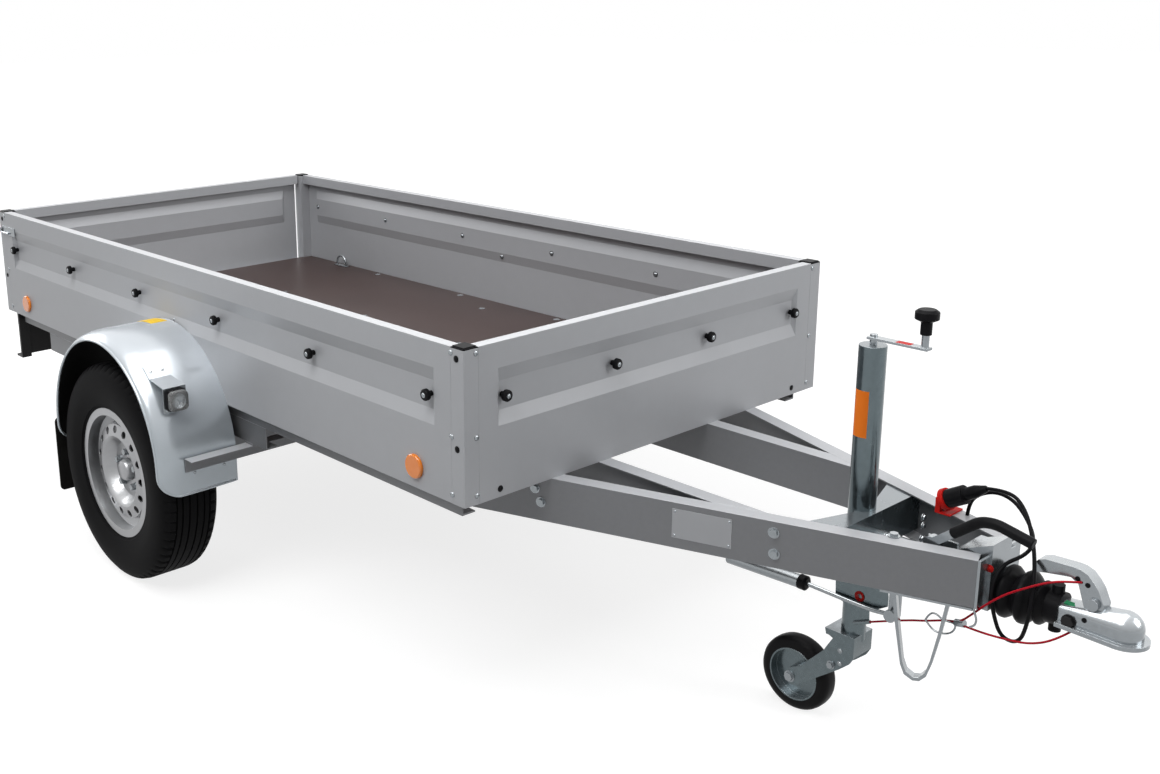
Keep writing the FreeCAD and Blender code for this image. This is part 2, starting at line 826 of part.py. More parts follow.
def rim():
    edge, wall = rim_half_width, rim_wall
    well, step = edge * rim_well_share, edge * rim_step_share
    outer = [(-edge, rim_flange_r), (-edge + wall, rim_flange_r), (-edge + wall, rim_seat_r),
             (-step, rim_seat_r), (-well, rim_well_r), (well, rim_well_r),
             (step, rim_seat_r), (edge - wall, rim_seat_r), (edge - wall, rim_flange_r),
             (edge, rim_flange_r)]
    inner = [(edge, rim_seat_r - wall), (step + wall, rim_seat_r - wall),
             (well + wall, rim_well_r - wall), (-well - wall, rim_well_r - wall),
             (-step - wall, rim_seat_r - wall), (-edge, rim_seat_r - wall)]
    barrel = wheel_place(outer + inner)
    face, crown = rim_offset, rim_offset + rim_crown_rise
    dish = [(well, rim_well_r - wall), (crown - 2 * wall, vent_ring_r + vent_r + wall),
            (crown, rim_crown_r), (crown - wall, rim_crown_r - 2 * wall),
            (face, rim_hub_r), (face, rim_bore_r)]
    back = [(a - wall, r) for a, r in reversed(dish)]
    back[-1] = (well - wall, rim_well_r - wall)
    disc = wheel_place(dish + back)
    vents = []
    for index in range(vent_count):
        turn = 2 * math.pi * index / vent_count
        x = axle_x + vent_ring_r * math.cos(turn)
        z = tyre_r + vent_ring_r * math.sin(turn)
        vents.append(rod((x, -wheel_y, z), (x, -wheel_y - edge, z), vent_r))
    return joined([barrel, disc.cut(Part.makeCompound(vents))])


def brake_drum():
    face, wall = drum_face(), drum_wall
    rear = face - drum_depth
    nose = face + hub_cap_length
    profile = [(rear, drum_r), (face, drum_r), (face, rim_bore_r - sheet),
               (face + wall, rim_bore_r - sheet), (nose - wall, hub_cap_r - sheet),
               (nose, hub_cap_r - 3 * sheet), (nose, 0), (face - wall, 0),
               (face - wall, spindle_r + spindle_play), (rear + wall, spindle_r + spindle_play),
               (rear + wall, arm_end_r), (face - 2 * wall, arm_end_r),
               (face - 2 * wall, drum_r - wall), (rear, drum_r - wall)]
    return wheel_place(profile)


# Fenders and lamps
def fender():
    half = fender_r
    inner = fender_r - fender_sheet
    round_r = fender_shoulder
    centre_z = fender_top - fender_r
    y_in, y_out = -half_width, -fender_outer_y

    def section(outer_r, y_edge, radius, lip):
        """Closed outline of the space under a sheet, at the arch's rear, X running inwards."""
        x = axle_x - outer_r
        corner = V(x + radius, y_edge, centre_z)
        middle = radius * (1 - math.sqrt(0.5))
        start = V(x, y_edge + radius, centre_z)
        arc = Part.Arc(start, V(x + middle, y_edge + middle, centre_z), corner).toShape()
        last = V(x + radius + lip, y_edge, centre_z)
        base = V(x + radius + lip, y_in, centre_z)
        first = V(x, y_in, centre_z)
        return Part.Face(Part.Wire([Part.makeLine(first, start), arc,
                                    Part.makeLine(corner, last), Part.makeLine(last, base),
                                    Part.makeLine(base, first)]))

    def arch(face):
        bow = face.revolve(V(axle_x, 0, centre_z), V(0, 1, 0), 180)
        rear = face.extrude(V(0, 0, -fender_leg))
        front = rear.mirror(V(axle_x, 0, centre_z), V(1, 0, 0))
        return joined([bow, rear, front])
    outside = arch(section(half, y_out, round_r, fender_lip))
    inside = arch(section(inner, y_out + fender_sheet, round_r - fender_sheet,
                          fender_lip + overrun_cut))
    return outside.cut(inside)


def fender_bar():
    x0 = axle_x + fender_r
    top = axle_beam_low - axle_bracket_thick
    leg, wall = fender_bar_leg, fender_bar_wall
    outer_y, inner_y = -frame_y - fender_bar_outer_reach, -frame_y + fender_bar_inner_reach
    upright = block(x0, x0 + wall, outer_y, inner_y, top - leg, top)
    shelf = block(x0, x0 + leg, outer_y, inner_y, top - wall, top)
    pad = block(x0, x0 + leg, -frame_y, -frame_y + frame_width, top, axle_beam_low)
    return joined([upright, shelf, pad])


def mudflap():
    x0 = axle_x - fender_r - flap_thick
    y0 = -fender_outer_y + fender_shoulder / 2
    top = fender_top - fender_r - fender_leg + flap_overlap
    return block(x0, x0 + flap_thick, y0, y0 + flap_width - fender_shoulder / 2,
                 top - flap_height, top)


def lamp_bracket():
    """Folded plate from the fender's crown to the back of the lamp."""
    half = lamp_size / 2
    lamp_y = fender_outer_y - lamp_inset
    x1 = axle_x + lamp_ahead - lamp_depth / 2
    centre_z = fender_top - fender_r
    plate = block(x1 - lamp_plate, x1, -lamp_y - half, -lamp_y + half, lamp_z - half, lamp_z + half)
    reach = math.sqrt(fender_r ** 2 - (lamp_z - half - centre_z) ** 2)
    leg = block(axle_x, x1, -lamp_y - half / 2, -lamp_y + half / 2,
                lamp_z - half, lamp_z - half + lamp_plate)
    arch = rod((axle_x, -bed_width, centre_z), (axle_x, 0, centre_z), fender_r)
    return joined([plate, leg.cut(arch)]) if reach < x1 - axle_x else plate


def front_lamp():
    half = lamp_size / 2
    lamp_y = fender_outer_y - lamp_inset
    x0 = axle_x + lamp_ahead - lamp_depth / 2
    lamp = block(x0, x0 + lamp_depth, -lamp_y - half, -lamp_y + half, lamp_z - half, lamp_z + half)
    edges = [edge for edge in lamp.Edges if abs(edge.Length - lamp_depth) < length_match]
    return lamp.makeFillet(lamp_round, edges)


# Rear end
def hinge_pins():
    """Fixed half of the tailgate hinges: leaf under the bed, outer knuckles and pin."""
    parts = []
    axis_x, axis_z = -hinge_back, bed_z - hinge_drop
    for side in (-1, 1):
        middle = side * hinge_y_share * bed_width
        third = hinge_width / 6
        pieces = [rod((axis_x, middle - 3 * third, axis_z), (axis_x, middle + 3 * third, axis_z),
                      hinge_pin_r)]
        for y0, y1 in ((middle - 3 * third, middle - third - hinge_side_gap),
                       (middle + third + hinge_side_gap, middle + 3 * third)):
            pieces.append(rod((axis_x, y0, axis_z), (axis_x, y1, axis_z), hinge_knuckle_r))
            pieces.append(block(-hinge_leaf, 0, y0, y1, end_low, axis_z))
            pieces.append(block(axis_x, 0, y0, y1, axis_z - hinge_knuckle_r,
                                axis_z - hinge_knuckle_r + hinge_leaf))
        parts.append(joined(pieces))
    return Part.makeCompound(parts)


def tailgate_latch():
    """Over-centre latch on the side panel, its wire loop just short of the corner."""
    y0 = -half_width
    z = bed_z + latch_z
    x0 = post_size / 2
    half = latch_plate_height / 2
    plate = block(x0, x0 + latch_plate_length, y0 - latch_plate_thick, y0, z - half, z + half)
    wires = []
    for dz in (-half / 2, half / 2):
        wires.append(rod((x0 + latch_wire_length, y0 - latch_plate_thick - latch_wire_r, z + dz),
                         (x0 - latch_wire_r, y0 - latch_plate_thick - latch_wire_r, z + dz),
                         latch_wire_r))
    bow = rod((x0 - latch_wire_r, y0 - latch_plate_thick - latch_wire_r, z - half / 2),
              (x0 - latch_wire_r, y0 - latch_plate_thick - latch_wire_r, z + half / 2),
              latch_wire_r)
    return joined([plate, bow] + wires)


def rear_lamp():
    x0 = end_member_width - rear_lamp_depth
    y0 = rear_lamp_inset - half_width
    lamp = block(x0, x0 + rear_lamp_depth, y0, y0 + rear_lamp_width,
                 end_low - rear_lamp_height, end_low)
    edges = [edge for edge in lamp.Edges if abs(edge.Length - rear_lamp_depth) < length_match]
    return lamp.makeFillet(rear_lamp_round, edges)


def lamp_carrier():
    """Plate behind a rear lamp with the guard bar in front of it, its foot turned back."""
    outer_y = carrier_inset - half_width
    inner_y = rear_lamp_inset - half_width + rear_lamp_width
    x0 = end_member_width
    x1, x2 = x0 + carrier_thick, x0 + carrier_thick + foot_bar_thick
    low = bed_z - foot_bar_drop
    plate = block(x0, x1, outer_y, inner_y, bed_z - carrier_drop, bed_z - beam_wall)
    upright = block(x1, x2, outer_y, outer_y + foot_bar_width, low, bed_z)
    foot = block(x2 - foot_reach, x2, outer_y, outer_y + foot_bar_width, low - foot_bar_thick, low)
    return joined([plate, upright, foot])


# Jack
def jack_outer_tube():
    tube = ring((jack_x, 0, jack_tube_bottom), (jack_x, 0, jack_tube_top), jack_tube_r,
                jack_tube_r - jack_tube_wall)
    cap = rod((jack_x, 0, jack_tube_top), (jack_x, 0, jack_tube_top + jack_cap_height / 2),
              jack_tube_r)
    return joined([tube, cap])


def shared_prism(shares, x0, z0, length, height, y0, y1):
    """Side outline given in shares of a length along X and a height along Z."""
    return side_prism([(x0 + along * length, z0 + up * height) for along, up in shares], y0, y1)


def cable_ferrule():
    """Crimped end of the breakaway cable, pressed against the hanger."""
    first, second = ahead_of_bed(cable_route)[:2]
    along = (second - first).normalize()
    return rod(tuple(first - along * ferrule_length), tuple(first), ferrule_r)


def jack_hanger():
    """Plate below the cross plate that carries the breakaway cable's end."""
    x0, z0 = clamp_plate_x - hanger_behind, bed_z - hanger_drop
    y0, y1 = -hanger_y - hanger_thick, -hanger_y
    plate = shared_prism(hanger_shares, x0, z0, hanger_length, -hanger_depth, y0, y1)
    along, down = hanger_hole_shares
    hole_x, hole_z = x0 + along * hanger_length, z0 - down * hanger_depth
    return plate.cut(rod((hole_x, y0, hole_z), (hole_x, y1, hole_z), hanger_hole_r))


def jack_bracket():
    """Cross plate between the drawbar beams with gussets, two ears and a ring round the tube."""
    x0 = clamp_plate_x
    x1 = x0 + clamp_plate_thick
    top = bed_z - beam_wall
    low = top - clamp_plate_height
    web = beam_envelope(beam_wall, bed_width)
    plate = block(x0, x1, -beam_y(x0), beam_y(x0), low, top)
    rear, inner = x0 - gusset_behind, jack_tube_r + clamp_ring_wall
    gusset = plan_prism([(rear, -beam_y(rear)), (x0, -beam_y(x0)), (x0, -inner),
                         (jack_x + clamp_ring_wall, -inner)], top - beam_wall, top)
    pieces = [plate, gusset, mirrored(gusset)]
    pieces = [piece.cut(web).cut(mirrored(web)) for piece in pieces]
    for z in (top - clamp_ear_length, low):
        pieces.append(ring((jack_x, 0, z), (jack_x, 0, z + clamp_ear_length),
                           jack_tube_r + clamp_ring_wall, jack_tube_r))
        ear = block(jack_x, x0, -jack_tube_r - clamp_ring_wall, jack_tube_r + clamp_ring_wall,
                    z, z + clamp_ear_length)
        pieces.append(ear.cut(rod((jack_x, 0, z), (jack_x, 0, z + clamp_ear_length), jack_tube_r)))
    return joined(pieces + [jack_hanger(), cable_ferrule()])


def jack_crank():
    low = jack_tube_top + jack_cap_height / 2
    spindle = rod((jack_x, 0, low), (jack_x, 0, crank_z + crank_bar), jack_spindle_r)
    bar = block(jack_x - crank_bar_width / 2, jack_x + crank_reach + crank_bar_width / 2,
                -crank_bar_width / 2, crank_bar_width / 2, crank_z, crank_z + crank_bar / 2)
    pin_x = jack_x + crank_reach
    pin = rod((pin_x, 0, crank_z), (pin_x, 0, crank_z + crank_pin_length), jack_spindle_r)
    return joined([spindle, bar, pin])


def crank_knob():
    height = crank_knob_height
    profile = [(0, 0), (0, crank_knob_neck_r), (height * crank_knob_neck_share, crank_knob_neck_r),
               (height * crank_knob_swell_share, crank_knob_r),
               (height * crank_knob_edge_share, crank_knob_r),
               (height, crank_knob_r - crank_knob_round), (height, 0)]
    return turned(profile, (jack_x + crank_reach, 0, crank_z + crank_pin_length), (0, 0, 1))


def jack_inner_tube():
    radius = jack_tube_r - jack_tube_wall - jack_play
    return ring((jack_x, 0, jack_fork_top - jack_fork_head), (jack_x, 0, jack_inner_top),
                radius, radius - jack_inner_wall)


def jack_fork():
    """Two cheeks trailing from the inner tube to the wheel's axle."""
    gap = jack_wheel_width / 2 + jack_fork_gap
    top = jack_fork_top
    tube_r = jack_tube_r - jack_tube_wall - jack_play
    cheek = shared_prism(jack_fork_shares, jack_wheel_x, jack_wheel_r, jack_trail, jack_fork_rise,
                         -gap - jack_fork_plate, -gap)
    rear, front = [jack_wheel_x + along * jack_trail for along, _ in jack_fork_shares[1::-1]]
    low = jack_wheel_r + jack_fork_shares[-1][1] * jack_fork_rise
    face = block(front - jack_fork_plate, front, -gap, gap, low, top)
    head = block(rear, front, -gap, gap, top - jack_fork_head, top)
    axle = rod((jack_wheel_x, -gap - jack_fork_plate, jack_wheel_r),
               (jack_wheel_x, gap + jack_fork_plate, jack_wheel_r), jack_axle_r)
    tube = rod((jack_x, 0, top - jack_fork_head), (jack_x, 0, top), tube_r)
    return joined([cheek, mirrored(cheek), head, face, axle]).cut(tube)


def jack_wheel_tyre():
    half, wall = jack_wheel_width / 2, jack_wheel_r - jack_rim_r
    side = [(along * half, jack_rim_r + up * wall) for along, up in jack_tyre_shares]
    profile = side + [(-along, r) for along, r in reversed(side)]
    return turned(profile, (jack_wheel_x, 0, jack_wheel_r), (0, -1, 0))


def jack_wheel_rim():
    half, wall = jack_wheel_width / 2, jack_rim_wall
    bore = jack_axle_r + spindle_play
    hub_r = 2 * jack_axle_r
    disc = wall / 2
    profile = [(-half, jack_rim_r), (-half, jack_rim_r - wall), (-disc, jack_rim_r - wall),
               (-disc, hub_r), (-half, hub_r), (-half, bore), (half, bore), (half, hub_r),
               (disc, hub_r), (disc, jack_rim_r - wall), (half, jack_rim_r - wall),
               (half, jack_rim_r)]
    return turned(profile, (jack_wheel_x, 0, jack_wheel_r), (0, -1, 0))


# Overrun device
def overrun_housing():
    """Cast tube from the jack's cross plate to a square head between the beams' ends."""
    half, front, head = housing_half_width, housing_front_x, housing_head_x
    body = rod((housing_rear_x, 0, draw_z), (head, 0, draw_z), housing_body_r)
    block_head = block(head, front, -half, half, housing_low, housing_high)
    hump = side_prism([(front - hump_length, housing_high), (front, housing_high),
                       (front, housing_high + hump_rise)], -half, -half + hump_width)
    cheek = block(head - cheek_reach, head, -half, -half + housing_wall, draw_z,
                  housing_high + cheek_rise)
    plate = block(beam_front_x, beam_front_x + housing_wall, -beam_front_y, beam_front_y,
                  bed_z - beam_front_height, bed_z)
    bore = rod((housing_rear_x, 0, draw_z), (front, 0, draw_z), draw_tube_r + draw_play)
    beam = drawbar_beam()
    whole = joined([body, block_head, hump, cheek, plate, relay_lever()]).cut(bore)
    return whole.cut(beam).cut(mirrored(beam))


def relay_lever():
    """Lever hanging beside the housing from its boss, with a round lower end."""
    y0, y1 = -housing_half_width - relay_plate, -housing_half_width
    half = relay_width / 2
    bar = block(relay_x - half, relay_x + half, y0, y1, relay_z, draw_z)
    ends = [rod((relay_x, y0, relay_z), (relay_x, y1, relay_z), half),
            rod((relay_x, y0, draw_z), (relay_x, 0, draw_z), relay_boss_r)]
    return joined([bar] + ends)


def draw_tube():
    end = coupling_rear_x + coupling_grip_length
    return rod((end - draw_tube_length, 0, draw_z), (end, 0, draw_z), draw_tube_r)


def bellows():
    """Two wide folds, a narrower one and a collar, each collar nub over a clamp bolt."""
    x, inner = housing_front_x, draw_tube_r + draw_play
    last = coupling_rear_x - x
    third = last - bellows_collar_length - 2 * bellows_fold_length
    outer, start = [(0, bellows_root_r)], 0
    for length, crest, root in ((bellows_fold_length, bellows_fold_r, bellows_root_r),
                                (bellows_fold_length, bellows_fold_r, bellows_root_r),
                                (third, bellows_last_fold_r, bellows_collar_r)):
        outer += [(start + along * length, root + up * (crest - root))
                  for along, up in bellows_fold_shares]
        start += length
    outer += [(last, bellows_collar_r), (last, inner), (0, inner)]
    nub_x = coupling_rear_x - clamp_nub_inset
    hollow = bellows_collar_r - clamp_nub_r
    nubs = [rod((nub_x, 0, draw_z + sign * hollow), (nub_x, 0, draw_z + sign * clamp_nub_rise),
                clamp_nub_r) for sign in (-1, 1)]
    return joined([turned(outer, (x, 0, draw_z), (1, 0, 0))] + nubs)


# Coupling: a pressed channel that swells to the ball's dome, over a rolled rim
def coupling_plan(grow, z0, z1):
    """The coupling seen from above, grown all round, between two heights."""
    rear, head = coupling_rear_half_width + grow, dome_r + grow
    body = plan_prism([(coupling_rear_x, -rear), (ball_x, -head), (ball_x, head),
                       (coupling_rear_x, rear)], z0, z1)
    return body.fuse(rod((ball_x, 0, z0), (ball_x, 0, z1), head))


def coupling_section(x, half, shoulder, crown):
    """Upright section: flat bottom and sides, and a crown given as its two halves."""
    low = rim_low_z
    sides = [Part.makeLine(V(x, half, shoulder), V(x, half, low)),
             Part.makeLine(V(x, half, low), V(x, -half, low)),
             Part.makeLine(V(x, -half, low), V(x, -half, shoulder))]
    return Part.Wire(sides + crown)


def coupling_body():
    """Channel whose crown swells from a square top at the rear to the dome's half round."""
    x, half, top = coupling_rear_x, coupling_rear_half_width, coupling_top_z
    shoulder, square = top - coupling_shoulder, coupling_square_share
    crown = []
    for side in (-1, 1):
        curve = Part.BezierCurve()
        poles = [V(x, side * half, shoulder), V(x, side * half, top),
                 V(x, side * half * square, top), V(x, 0, top)]
        curve.setPoles(poles if side < 0 else poles[::-1])
        crown.append(curve.toShape())
    rear = coupling_section(x, half, shoulder, crown)
    r, slant = dome_r, dome_r * math.sqrt(0.5)
    arcs = [Part.Arc(V(ball_x, -r, ball_z), V(ball_x, -slant, ball_z + slant),
                     V(ball_x, 0, ball_z + r)).toShape(),
            Part.Arc(V(ball_x, 0, ball_z + r), V(ball_x, slant, ball_z + slant),
                     V(ball_x, r, ball_z)).toShape()]
    return Part.makeLoft([rear, coupling_section(ball_x, r, ball_z, arcs)], True, True)


def coupling():
    dome = Part.makeSphere(dome_r, V(ball_x, 0, ball_z))
    skirt = rod((ball_x, 0, rim_low_z), (ball_x, 0, ball_z), dome_r)
    low = rim_low_z - overrun_cut
    behind = block(coupling_rear_x, ball_x, -dome_r, dome_r, low, ball_z + dome_r)
    nose = dome.fuse(skirt).cut(behind)
    rim = coupling_plan(rim_reach, rim_low_z, rim_low_z + rim_thick)
    body = joined([coupling_body(), nose, rim])
    hollow_half = coupling_rear_half_width - coupling_wall
    hollow = block(coupling_rear_x + coupling_grip_length + coupling_wall, ball_x - dome_r,
                   -hollow_half, hollow_half, low, coupling_top_z - coupling_wall)
    socket = Part.makeSphere(socket_r, V(ball_x, 0, ball_z))
    mouth = rod((ball_x, 0, low), (ball_x, 0, ball_z), socket_r)
    tube = rod((coupling_rear_x - overrun_cut, 0, draw_z),
               (coupling_rear_x + coupling_grip_length, 0, draw_z), draw_tube_r)
    under = block(coupling_rear_x - overrun_cut, nose_x, -bed_width, bed_width, low, rim_low_z)
    return body.cut(socket).cut(mouth).cut(tube).cut(hollow).cut(under)


def coupling_handle():
    """Channel-shaped release handle, bent back over the bellows from its pivot."""
    foot = ball_x - handle_foot_x
    half, wall = handle_width / 2, handle_plate
    shell = shared_prism(handle_shares, foot, handle_foot_z, -handle_length, handle_rise,
                         -half, half)
    inside = shell.copy()
    inside.translate(V(-wall, 0, -wall))
    inside = inside.common(block(foot - bed_width, foot, wall - half, half - wall, 0, bed_top))
    pivot_x = foot - handle_pivot_share * handle_length
    pivot_z = handle_foot_z + handle_pivot_rise
    boss = rod((pivot_x, -half - handle_pivot_thick, pivot_z),
               (pivot_x, half + handle_pivot_thick, pivot_z), handle_pivot_r)
    return joined([shell.cut(inside), boss]).cut(coupling())


def brake_strut():
    """Sprung tube on the brake rod, its bent front rod hooked on the relay lever's bolt."""
    start = V(bed_length + strut_ahead, -strut_y, strut_rear_z)
    middle = V(bed_length + strut_ahead + strut_length, -strut_y, strut_front_z)
    cylinder = Part.makeCylinder(strut_r, (middle - start).Length, start, middle - start)
    lever_y = -housing_half_width - relay_plate
    end = V(relay_x, lever_y - eye_gap, relay_z)
    stem = bent_rod([middle, V(bed_length + strut_bend_ahead, -strut_y, strut_bend_z),
                     V(bed_length + strut_rise_ahead, -strut_y, strut_bend_z), end], strut_rod_r)
    head_y = end.y - strut_rod_r
    eye = rod((relay_x, head_y, relay_z), (relay_x, lever_y, relay_z), eye_r)
    head = rod((relay_x, head_y - eye_head_thick, relay_z), (relay_x, head_y, relay_z), eye_head_r)
    rear = rod((arm_tube_x(), -strut_y, arm_tube_z()), tuple(start), brake_rod_r)
    tube = block(arm_tube_x() - tube_size, arm_tube_x() + tube_size / 2, -half_width, half_width,
                 arm_tube_z() - tube_size, arm_tube_z() + tube_size)
    return joined([cylinder, stem, eye, head, rear.cut(tube)]).cut(relay_lever())


def support_loop():
    """Bent flat bar under the right beam that keeps the parked nose off the ground."""
    def outline(inset):
        wide, deep = support_length - 2 * inset, support_depth - inset
        return [(-support_inset - inset - along * wide, -beam_front_height - down * deep)
                for along, down in support_shares]
    middle, half = beam_flange / 2, support_bar_width / 2
    outside = side_prism(outline(0), middle - half, middle + half)
    loop = outside.cut(side_prism(outline(support_bar), middle - half, middle + half))
    return on_beam(loop).cut(drawbar_beam())


# Handbrake lever
def grip_points():
    x, z = bed_length + brake_pivot_ahead + grip_start_run, brake_pivot_z + grip_start_rise
    points = [V(x, -brake_lever_y, z)]
    for run, rise in ((grip_climb_run, grip_climb_rise), (grip_crest_run, grip_crest_rise),
                      (grip_fall_run, -grip_fall)):
        points.append(points[-1] + V(run, 0, rise))
    return points


def handbrake_lever():
    """Flat lever on its pivot beside the housing, ending where the grip begins."""
    half = brake_lever_thick / 2
    pivot = V(bed_length + brake_pivot_ahead, -brake_lever_y, brake_pivot_z)
    climb = grip_points()[1] - grip_points()[0]
    run = grip_points()[0] - pivot
    across = V(-climb.z, 0, climb.x).normalize() * (brake_lever_height / 2)
    corners = [pivot - across, pivot + run - across, pivot + run + across, pivot + across]
    lever = side_prism([(corner.x, corner.z) for corner in corners],
                       pivot.y - half, pivot.y + half)
    boss = rod((pivot.x, -housing_half_width, pivot.z), (pivot.x, pivot.y - half, pivot.z),
               brake_pivot_r)
    return joined([lever, boss])


def handbrake_grip():
    return bent_rod(grip_points(), grip_r).cut(handbrake_lever())


# Plug and cords
def plug_line():
    """Where the parked plug starts, and the way it points."""
    tilt = math.radians(plug_tilt)
    return V(bed_length + plug_ahead, plug_y, plug_z), V(math.cos(tilt), 0, math.sin(tilt))


def plug_holder():
    """Parking cup for the plug on a post bolted to the left beam."""
    start, along = plug_line()
    cup = Part.makeCylinder(plug_ring_r, plug_ring_length, start - along * plug_ring_length, along)
    half = plug_ring_length
    post = block(start.x - 2 * half, start.x - half, plug_y - half, plug_y + half, bed_z, plug_z)
    foot = block(start.x - 2 * half, start.x + half, plug_y - half,
                 beam_y(start.x) - beam_wall, bed_z, bed_z + socket_plate)
    return joined([cup, post, foot])


def plug():
    start, along = plug_line()
    profile = [(0, 0), (0, plug_r), (plug_length * plug_body_share, plug_r),
               (plug_length * plug_body_share, plug_boot_r),
               (plug_length * plug_boot_share, plug_boot_r), (plug_length, plug_exit_r),
               (plug_length, 0)]
    return turned(profile, tuple(start), tuple(along))


def ahead_of_bed(points):
    return [V(bed_length + x, y, z) for x, y, z in points]


def lead():
    start, along = plug_line()
    cord = bent_rod([start + along * plug_length] + ahead_of_bed(lead_route), lead_r)
    return cord.cut(plug()).cut(mirrored(drawbar_beam()))


def breakaway_cable():
    cord = bent_rod(ahead_of_bed(cable_route), cable_r)
    return cord.cut(overrun_housing()).cut(coupling_handle()).cut(jack_bracket())


def breakaway_loop():
    return bent_rod(ahead_of_bed(loop_route), cable_r).cut(coupling())


def cable_clip():
    """Clip that gathers the cable and its loop."""
    first, last = ahead_of_bed(clip_route)
    body = Part.makeCylinder(clip_r, (last - first).Length, first, last - first)
    return body.cut(breakaway_cable()).cut(breakaway_loop())


def main():
    os.makedirs("parts", exist_ok=True)
    write("side_panel_right", side_panel())
    write("side_panel_left", mirrored(side_panel()))
    write("front_panel", front_panel())
    write("tailgate", tailgate())
    write("corner_posts", corner_posts())
    write("post_caps", post_caps())
    write("floor_board", floor_board())
    write("tarp_knobs", tarp_knobs())
    write("tailgate_knobs", tailgate_knobs())
    write("side_reflectors", side_reflectors())
    write("tie_down_loops", tie_down_loops())
    write("drawbar_beam_right", drawbar_beam())
    write("drawbar_beam_left", mirrored(drawbar_beam()))
    write("bed_frames", both_sides(bed_frame()))
    write("axle_beams", both_sides(axle_beam()))
    write("chassis_rails", both_sides(chassis_rail()))
    write("cross_members", cross_members())
    write("axle_tube", axle_tube())
    for side in ("right", "left"):
        place = mirrored if side == "left" else Part.Shape.copy
        write("axle_arm_" + side, place(axle_arm()))
        write("tyre_" + side, place(tyre()))
        write("rim_" + side, place(rim()))
        write("brake_drum_" + side, place(brake_drum()))
        write("fender_" + side, place(fender()))
    write("fender_bars", both_sides(fender_bar()))
    write("mudflaps", both_sides(mudflap()))
    write("lamp_brackets", both_sides(lamp_bracket()))
    write("front_lamps", both_sides(front_lamp()))
    write("hinge_pins", hinge_pins())
    write("tailgate_latches", both_sides(tailgate_latch()))
    write("rear_lamps", both_sides(rear_lamp()))
    write("lamp_carriers", both_sides(lamp_carrier()))
    write("jack_outer_tube", jack_outer_tube())
    write("jack_bracket", jack_bracket())
    write("jack_crank", jack_crank())
    write("crank_knob", crank_knob())
    write("jack_inner_tube", jack_inner_tube())
    write("jack_fork", jack_fork())
    write("jack_wheel_tyre", jack_wheel_tyre())
    write("jack_wheel_rim", jack_wheel_rim())
    write("overrun_housing", overrun_housing())
    write("draw_tube", draw_tube())
    write("bellows", bellows())
    write("coupling", coupling())
    write("coupling_handle", coupling_handle())
    write("brake_strut", brake_strut())
    write("support_loop", support_loop())
    write("handbrake_lever", handbrake_lever())
    write("handbrake_grip", handbrake_grip())
    write("plug_holder", plug_holder())
    write("plug", plug())
    write("lead", lead())
    write("breakaway_cable", breakaway_cable())
    write("breakaway_loop", breakaway_loop())
    write("cable_clip", cable_clip())


main()
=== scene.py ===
"""Dresses the utility trailer: camera, light, cords, finishes and small pieces, in metres.

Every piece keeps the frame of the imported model: X forward to the coupling, Y to the left, Z up.
"""
# %% [markdown]
# # A braked utility trailer
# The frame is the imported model: each of its nodes already has its real shape, size and place.
# This script only adds what a maker would call finish, which is metal, rubber, wood and light,
# and the small pieces such as bolts, rivets, tread and stickers.

# %% Load the frame
import json
import math

import bmesh
import bpy
from mathutils import Matrix, Vector

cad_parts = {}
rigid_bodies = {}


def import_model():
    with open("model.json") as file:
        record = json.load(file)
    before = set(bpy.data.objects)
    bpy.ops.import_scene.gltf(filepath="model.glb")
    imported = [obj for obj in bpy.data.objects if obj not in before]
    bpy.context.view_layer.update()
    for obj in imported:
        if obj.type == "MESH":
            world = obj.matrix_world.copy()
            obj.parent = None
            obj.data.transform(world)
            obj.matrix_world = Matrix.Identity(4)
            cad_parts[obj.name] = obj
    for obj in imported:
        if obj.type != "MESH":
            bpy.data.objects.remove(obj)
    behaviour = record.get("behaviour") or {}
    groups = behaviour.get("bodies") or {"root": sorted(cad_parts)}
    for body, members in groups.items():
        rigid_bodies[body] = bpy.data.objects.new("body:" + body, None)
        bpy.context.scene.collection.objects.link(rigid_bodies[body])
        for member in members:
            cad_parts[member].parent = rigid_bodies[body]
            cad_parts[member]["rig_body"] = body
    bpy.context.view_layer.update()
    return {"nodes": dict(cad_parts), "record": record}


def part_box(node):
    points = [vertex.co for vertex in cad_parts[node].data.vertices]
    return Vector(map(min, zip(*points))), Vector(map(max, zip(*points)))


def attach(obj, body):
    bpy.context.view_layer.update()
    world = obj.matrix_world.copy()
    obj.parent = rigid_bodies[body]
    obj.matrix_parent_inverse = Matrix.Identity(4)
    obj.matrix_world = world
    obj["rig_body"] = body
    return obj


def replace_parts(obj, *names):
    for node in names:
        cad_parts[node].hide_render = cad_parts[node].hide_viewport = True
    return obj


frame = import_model()
nodes = frame["nodes"]
slots = {part["node"]: part["material_slot"] for part in frame["record"]["subparts"]}
print("nodes:", len(nodes))

# %% [markdown]
# ## Where things are
# The load bed is the easiest thing to measure from, so every place below is counted from it:
# forward of its rear face, to the left of the middle and up from the ground, in millimetres.

# %% Places counted from the bed
MM = 0.001
bed_low, bed_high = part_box("corner_posts")
bed_rear, bed_front = bed_low.x, bed_high.x
bed_length = (bed_front - bed_rear) / MM
bed_half_width = bed_high.y / MM
bed_floor_z = bed_low.z / MM


def at(x, y, z):
    """A place in millimetres forward of the bed's rear face, left of the middle, above ground."""
    return Vector((bed_rear + x * MM, y * MM, z * MM))


def ahead(x, y, z):
    """The same, counted forward of the bed's front face."""
    return at(bed_length + x, y, z)


print("bed:", round(bed_length), "mm long,", round(2 * bed_half_width), "mm wide")

# %% [markdown]
# ## Camera
# The photograph was taken with an ordinary lens from the front right, a little above the rim of
# the walls. The picture was cropped afterwards, so its middle isn't the middle of the lens. A
# shifted lens gives the same crop without turning the camera.

